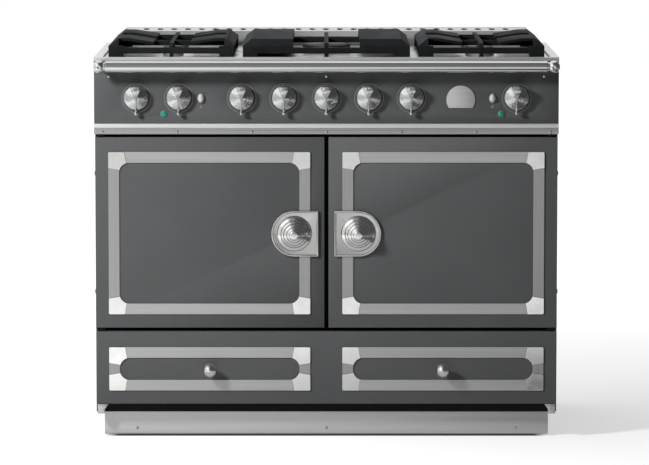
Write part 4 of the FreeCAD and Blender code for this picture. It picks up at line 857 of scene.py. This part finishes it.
# Control knobs.
# Die-cast and chromed: a flared skirt with a domed face, a grip on it that narrows to a waist,
# and a thin stem below that ends in a ball and points at the dial.
KNOB_RADIUS = 0.029
KNOB_DOME = 0.0235
KNOB_RIM = 0.014
GRIP_REACH = 0.036
POINTER_DROP = 0.037
POINTER_BALL = 0.0056
POINTER_STEM = 0.0036
STEM_TOP = 0.014
SHAFT_RADIUS = 0.004
SHAFT_BACK = 0.032
GRIP_FOOT = 0.002
GRIP_EDGE = 0.0022
# Each row of the grip has its height, half width and reach, from the tail to the top.
GRIP_SIDE = (
    (-0.022, 0.0018, 0.0185), (-0.016, 0.002, 0.0215), (-0.009, 0.0022, 0.024),
    (-0.003, 0.0026, 0.027), (0.002, 0.0036, 0.031), (0.007, 0.0058, 0.0345),
    (0.012, 0.0084, GRIP_REACH), (0.018, 0.0108, GRIP_REACH), (0.0225, 0.0118, 0.0352),
    (0.0255, 0.0115, 0.0335), (0.027, 0.009, 0.031),
)


def grip():
    """The grip's mesh, lofted through its rows, with rolled edges."""
    rings = []
    for height, half, reach in GRIP_SIDE:
        corners = ((-half, GRIP_FOOT), (half, GRIP_FOOT), (half, reach), (-half, reach))
        rings.append([(x, -forward, height) for x, forward in corners])
    bar = piece_from(loft(rings), "grip", knob_chrome)
    edged(bar, GRIP_EDGE, 5, 45.0)
    mesh = bmesh.new()
    mesh.from_mesh(baked(bar).data)
    bpy.data.objects.remove(bar)
    return mesh


skirt = [
    (0.0, 0.0), (0.0232, 0.0), (0.0238, 0.0006), (0.0249, 0.003), (0.0272, 0.0078),
    (KNOB_RADIUS, KNOB_RIM - 0.0008),
]
for step in range(15):
    share = 1 - step / 14
    skirt.append((KNOB_RADIUS * share, KNOB_RIM + (KNOB_DOME - KNOB_RIM) * (1 - share**1.5)))
knob_chrome = mirror_chrome("knob_chrome", 0.51, 0.011, 0.13)
for node in control_knobs:
    low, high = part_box(node)
    middle = ((low.x + high.x) / 2, low.y + GRIP_REACH, high.z - GRIP_SIDE[-1][0])
    pointer = lathed(ball_profile(POINTER_BALL, steps=16), 32)
    stem = rod(POINTER_STEM, -POINTER_DROP, -STEM_TOP, 20)
    add_creased(node, node + "_cast", knob_chrome, 50, [
        placed(lathed(skirt, 72), middle, FORWARD),
        placed(rod(SHAFT_RADIUS, -SHAFT_BACK, 0.0002, 24), middle, FORWARD),
        placed(stem, middle, (0, -KNOB_RIM, 0)),
        placed(pointer, middle, (0, -KNOB_RIM, -POINTER_DROP)),
        placed(grip(), middle),
    ])


# Towel rail: a chromed tube held by a ball end on a short post at each side.
# A turned collar steps down from each ball to the tube, a rosette covers the fixing, and a
# small socket in the front of each ball takes its set screw.
TUBE_WALL = 0.002
END_RING = 0.002
low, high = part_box("rail_tube")
outside = (high.z - low.z) / 2
inside = outside - TUBE_WALL
length = high.x - low.x
# The rings close to both ends keep the shading straight along the rest of the tube.
tube = [
    (inside, 0.0), (outside, 0.0), (outside, END_RING), (outside, length - END_RING),
    (outside, length), (inside, length), (inside, 0.0),
]
rail_y, rail_z = (low.y + high.y) / 2, (low.z + high.z) / 2
to_right = Matrix.Rotation(math.radians(90), 4, "Y")
to_left = Matrix.Rotation(math.radians(-90), 4, "Y")
backward = Matrix.Rotation(math.radians(-90), 4, "X")
add_creased("rail_tube", "rail_chromed_tube", chrome, 50, [
    placed(lathed(softened(tube, 0.0005, 2), 96), (low.x, rail_y, rail_z), to_right),
])

RAIL_BALL = 0.015
SOCKET_RADIUS = 0.0042
low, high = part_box("rail_ends")
neck = high.x - RAIL_BALL - length / 2
post = high.y - rail_y
mouth = math.sqrt(RAIL_BALL**2 - SOCKET_RADIUS**2)
ball = [point for point in ball_profile(RAIL_BALL) if point[1] < mouth] + [
    (SOCKET_RADIUS, mouth), (0.0036, mouth - 0.0005), (0.0034, mouth - 0.003),
    (0.0, mouth - 0.003),
]
collar = [
    (0.0, 0.0), (0.0102, 0.0), (0.0102, neck - 0.0042), (0.011, neck - 0.0036),
    (0.011, neck - 0.001), (0.0104, neck), (0.0, neck),
]
stalk = [
    (0.0, 0.0), (0.008, 0.0), (0.008, post - 0.0045), (0.0084, post - 0.0035),
    (0.0098, post - 0.003), (0.0105, post - 0.0024), (0.0105, post), (0.0, post),
]
add_creased("rail_ends", "rail_ball_ends", chrome, 45, [
    placed(lathed(softened(profile, 0.0004, 2), 48), (x, rail_y, rail_z), way)
    for x, inward in ((low.x + RAIL_BALL, to_right), (high.x - RAIL_BALL, to_left))
    for profile, way in ((ball, FORWARD), (collar, inward), (stalk, backward))
])


# Worktop: one deep-drawn tray of stainless sheet, brushed from side to side.
# It has a raised rim, a narrow rolled front edge and a hole for each burner. Along its back
# edge the same sheet stands up as a flue rail with a row of round holes.
rolled("worktop", brushed_steel("worktop_steel", "x", 0.58, 0.3), 0.0012, 3)


# Burners.
# Each has a cast aluminium crown with flame ports cut round its top, and a pressed cap in
# matt black enamel that sits on it.
def black_cap():
    """Matt black vitreous enamel, finely dimpled."""
    finish = Finish("cap_enamel", {})
    cloud = finish.noise(40.0, 3.0)
    finish.coloured(cloud, (0.014, 0.014, 0.015), (0.028, 0.028, 0.029))
    finish.dulled(cloud, 0.42, 0.6)
    finish.bump(finish.noise(600.0, 2.0), 0.0002, 0.5)
    return finish.material


cap_enamel = black_cap()
PAN_HEIGHT = 0.907
PORT_HEIGHT = 0.0042
TOOTH_SHARE = 0.66
# Each burner has its place in x and y, its radius and its number of ports.
BURNER_ROWS = (
    (-0.368, -0.105, 0.026, 20), (-0.368, 0.135, 0.036, 28), (0.0, 0.012, 0.062, 44),
    (0.368, -0.105, 0.036, 28), (0.368, 0.135, 0.046, 34),
)
crown_low, crown_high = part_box("burner_crowns")
rise = PAN_HEIGHT - crown_low.z
ledge = crown_high.z - crown_low.z - PORT_HEIGHT
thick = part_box("burner_caps")[1].z - crown_high.z
for number, (x, y, radius, ports) in enumerate(BURNER_ROWS, start=1):
    neck = radius * 0.84
    edge = radius * 0.94
    crown = [
        (0.0, 0.0), (radius * 0.5, 0.0), (radius * 0.5, rise), (radius * 0.97, rise),
        (radius * 0.97, rise + 0.003), (neck, rise + 0.0055), (neck, ledge - 0.003),
        (edge, ledge - 0.0008), (edge, ledge), (radius * 0.7, ledge), (0.0, ledge),
    ]
    add_creased("burner_crowns", f"burner_{number}_crown", aluminium, 40, [
        placed(lathed(softened(crown, 0.0006, 2), 72), (x, y, crown_low.z)),
    ])

    gap = 2 * math.pi * neck / ports
    tooth_size = (radius * 0.18, gap * TOOTH_SHARE, PORT_HEIGHT + 0.0004)
    teeth = Tree(f"burner_{number}_teeth")
    circle = teeth.add("GeometryNodeMeshCircle", {
        "Vertices": teeth.asks("Ports", "Int", ports),
        "Radius": teeth.asks("Radius", "Float", neck),
    })
    outward = {"Vector": teeth.add("GeometryNodeInputPosition", {})}
    facing = teeth.add("FunctionNodeAlignRotationToVector", outward, {"axis": "X"})
    tooth = teeth.add("GeometryNodeMeshCube", {"Size": teeth.asks("Tooth", "Vector", tooth_size)})
    spots = {"Points": circle, "Instance": tooth, "Rotation": facing}
    moved = teeth.add("GeometryNodeTransform", {
        "Geometry": teeth.add("GeometryNodeInstanceOnPoints", spots),
        "Translation": teeth.asks("Centre", "Vector", (x, y, crown_high.z - PORT_HEIGHT / 2)),
    })
    seated(teeth.grown(moved, f"burner_{number}_port_teeth", aluminium), "burner_crowns")

    cap = [
        (0.0, 0.0), (edge - 0.001, 0.0), (edge, 0.0008), (edge, thick * 0.5),
        (edge - 0.002, thick * 0.78), (edge * 0.9, thick * 0.95), (edge * 0.84, thick),
        (0.0, thick),
    ]
    add_creased("burner_caps", f"burner_{number}_cap", cap_enamel, 50, [
        placed(lathed(softened(cap, 0.001, 3), 72), (x, y, crown_high.z)),
    ])


# Grates.
# Three heavy castings side by side, enamelled matt black, with wide wings that slope down
# towards the burners and feet that stand in the worktop's pan.
def cast_iron():
    """Sand-cast iron under matt enamel: a fine pitted grain."""
    finish = Finish("enamelled_cast_iron", {"Specular IOR Level": 0.04})
    grain = finish.noise(480.0, 5.0, 0.6)
    broad = finish.noise(28.0, 3.0)
    tone = grain * 0.5 + broad * 0.5
    finish.coloured(tone, (0.0072, 0.0078, 0.0087), (0.014, 0.0152, 0.0168))
    finish.dulled(broad, 0.55, 0.7)
    finish.bump(grain, 0.0005, 0.55)
    return finish.material


grate_iron = cast_iron()
for name in ("grate_left", "grate_centre", "grate_right"):
    rolled(name, grate_iron, 0.0018, 3)


# Plinth and the two corner brackets.
# The plinth is folded stainless, set back from the doors and screwed on. The brackets are
# pressed from bright steel and close the gap beside the drawer.
rolled("plinth", brushed_steel("plinth_steel", "x", 0.61, 0.36), 0.0008, 3)
rolled("corner_brackets", brushed_steel("bracket_steel", "z", 0.62, 0.3), 0.0008, 2)


# Gas and electric pieces behind the panel.
# An aluminium manifold feeds brass valves, one behind each burner knob, and black moulded
# switches and a terminal box carry the wiring.
def turned_brass():
    """Bare brass with turning marks."""
    finish = Finish("turned_brass", {"Metallic": 1.0})
    mark = finish.noise(1.0, 4.0, 0.6, (60.0, 900.0, 60.0))
    finish.coloured(mark, (0.55, 0.4, 0.16), (0.7, 0.52, 0.24))
    finish.dulled(mark, 0.24, 0.4)
    finish.bump(mark, 0.0001, 0.3)
    return finish.material


def moulded_plastic():
    """Black thermoset with a fine eroded texture."""
    finish = Finish("moulded_plastic", {"Roughness": 0.45})
    spark = finish.noise(900.0, 2.0)
    finish.coloured(spark, (0.018, 0.018, 0.019), (0.03, 0.03, 0.032))
    finish.bump(spark, 0.0001, 0.5)
    return finish.material


dress(aluminium, "gas_manifold")
dress(turned_brass(), "gas_valves")
dress(moulded_plastic(), "oven_controls", "terminal_box")


# Studio: a white floor, a small key light from the upper left and a wide light above.
# Polished metal mirrors a room that is bright at the far left, dim in front and darkest to the right.
# The floor carries painted shade: painted reflections make it darker near the cooker and to its
# right, and a painted shadow makes it dark under the cooker.
def studio_paint():
    """White paint that glows a little, more so behind the cooker and far from it."""
    finish = Finish("studio_paint", {"Roughness": 0.9, "Emission Color": (1, 1, 1, 1)})
    across, depth = finish.part("X"), finish.part("Y")
    length = {"operation": "LENGTH"}
    distance = finish.node("ShaderNodeVectorMath", length, [finish.place], "Value")
    diffuse = finish.node("ShaderNodeLightPath", {}, {}, "Is Diffuse Ray")
    glossy = finish.node("ShaderNodeLightPath", {}, {}, "Is Glossy Ray")
    # Painted reflections: only reflections see the floor painted dim around the cooker and dark to
    # its right.
    painted_dim_near = finish.ranged(distance, 0.8, 2.2, 0.5, 0.0)
    painted_dark_card = finish.ranged(across, -0.3, 0.6, 0.0, 0.75)
    painted_dark_card = painted_dark_card * finish.ranged(distance, 0.85, 1.1, 0.0, 1.0)
    painted_dark_card = painted_dark_card * finish.ranged(distance, 1.8, 2.4, 1.0, 0.0)
    painted_dark_card = painted_dark_card.math("MAXIMUM", finish.ranged(across, 1.4, 2.4, 0.0, 0.78))
    # A painted shadow: the floor between the feet is painted dark for every ray.
    painted_shadow_beneath = finish.ranged(across.math("ABSOLUTE"), 0.5, 0.53, 1.0, 0.0)
    painted_shadow_beneath = painted_shadow_beneath * finish.ranged((depth - 0.05).math("ABSOLUTE"), 0.26, 0.275, 1.0, 0.0)
    dimmed = (1 - glossy * (painted_dim_near + painted_dark_card)).math("MAXIMUM", 0.1) * (1 - painted_shadow_beneath * 0.95)
    finish.set("Base Color", dimmed * 0.52)
    behind = finish.ranged(depth, 0.5, 3.0, 0.6, 1.0)
    far = finish.ranged(distance, 2.0, 6.0, 0.6, 0.68)
    held = (1 - diffuse * 0.65) * dimmed
    finish.set("Emission Strength", behind.math("MAXIMUM", far) * held)
    return finish.material


mesh = bmesh.new()
mesh.faces.new([
    mesh.verts.new(corner) for corner in ((-9, -12, 0), (9, -12, 0), (9, 14, 0), (-9, 14, 0))
])
piece = piece_from(mesh, "studio_floor", studio_paint())


def aimed(thing, place, target):
    """Puts a light or the camera in its place, pointing at the target."""
    bpy.context.scene.collection.objects.link(thing)
    thing.location = place
    thing.rotation_euler = (Vector(target) - Vector(place)).to_track_quat("-Z", "Y").to_euler()


def soft_light(name, place, target, size, power):
    """A rectangular light that doesn't show in polished metal."""
    data = bpy.data.lights.new(name, "AREA")
    data.shape = "RECTANGLE"
    data.size, data.size_y = size
    data.energy = power
    lamp = bpy.data.objects.new(name, data)
    aimed(lamp, place, target)
    lamp.visible_glossy = False


soft_light("key", (-1.73, -1.87, 1.8), (-0.1, -0.2, 0.5), (0.4, 0.4), 98.0)
soft_light("top", (-0.6, 0.6, 3.6), (0, 0, 0.9), (2.6, 2.0), 45.0)


class Surroundings(Finish):
    """The world's nodes, written as a finish is."""

    def __init__(self, name):
        self.world = bpy.data.worlds.new(name)
        self.world.use_nodes = True
        self.tree = self.world.node_tree
        self.shader = self.tree.nodes["Background"]
        self.place = self.node("ShaderNodeTexCoord", {}, {}, "Generated")

    def shown(self, tone, dimmed):
        """Plain white to the camera, the tone to polished surfaces, and dimmed to the rest."""
        direct = self.node("ShaderNodeLightPath", {}, {}, "Is Camera Ray")
        glossy = self.node("ShaderNodeLightPath", {}, {}, "Is Glossy Ray")
        level = tone * (glossy + (1 - glossy) * dimmed)
        self.set("Strength", level * (1 - direct) + direct)
        bpy.context.scene.world = self.world


room = Surroundings("studio")
room.shader.inputs["Color"].default_value = (1, 1, 1, 1)
across, along, up = room.part("X"), room.part("Y"), room.part("Z")
slant = across + up * 0.1
# In front: bright at the far left, dim in the middle, darker to the right and low down.
sides = room.ranged(slant, -0.34, -0.18, 1.1, 0.33)
dark = room.ranged(slant, -0.03, 0.2, 0.0, 0.24)
raised = room.ranged(up + across * 0.45, -0.1, 0.1, 0.0, 1.0)
below = room.ranged(slant, -0.2, 0.3, 0.85, 0.1)
front = (sides - dark) * raised + (1 - raised) * below
# Behind: bright, with a dark flank to the right.
rear = room.ranged(along, -0.05, 0.25, 0.0, 1.0)
flank = room.ranged(across, 0.25, 0.45, 1.05, 0.12)
# A soft glare where the key light stands.
lamp = across * -0.55 + along * -0.7 + up * 0.46
glare = room.ranged(lamp, 0.93, 0.975, 0.0, 0.5)
room.shown(front * (1 - rear) + rear * flank + glare, 0.15)

camera_data = bpy.data.cameras.new("camera")
camera_data.sensor_width = 36.0
camera_data.lens = 234.9
camera_data.clip_end = 60.0
camera = bpy.data.objects.new("camera", camera_data)
aimed(camera, (-0.0045, -10.27, 1.52), (-0.0045, -0.27, 0.4954))
bpy.context.scene.camera = camera
bpy.context.scene.view_settings.view_transform = "Standard"
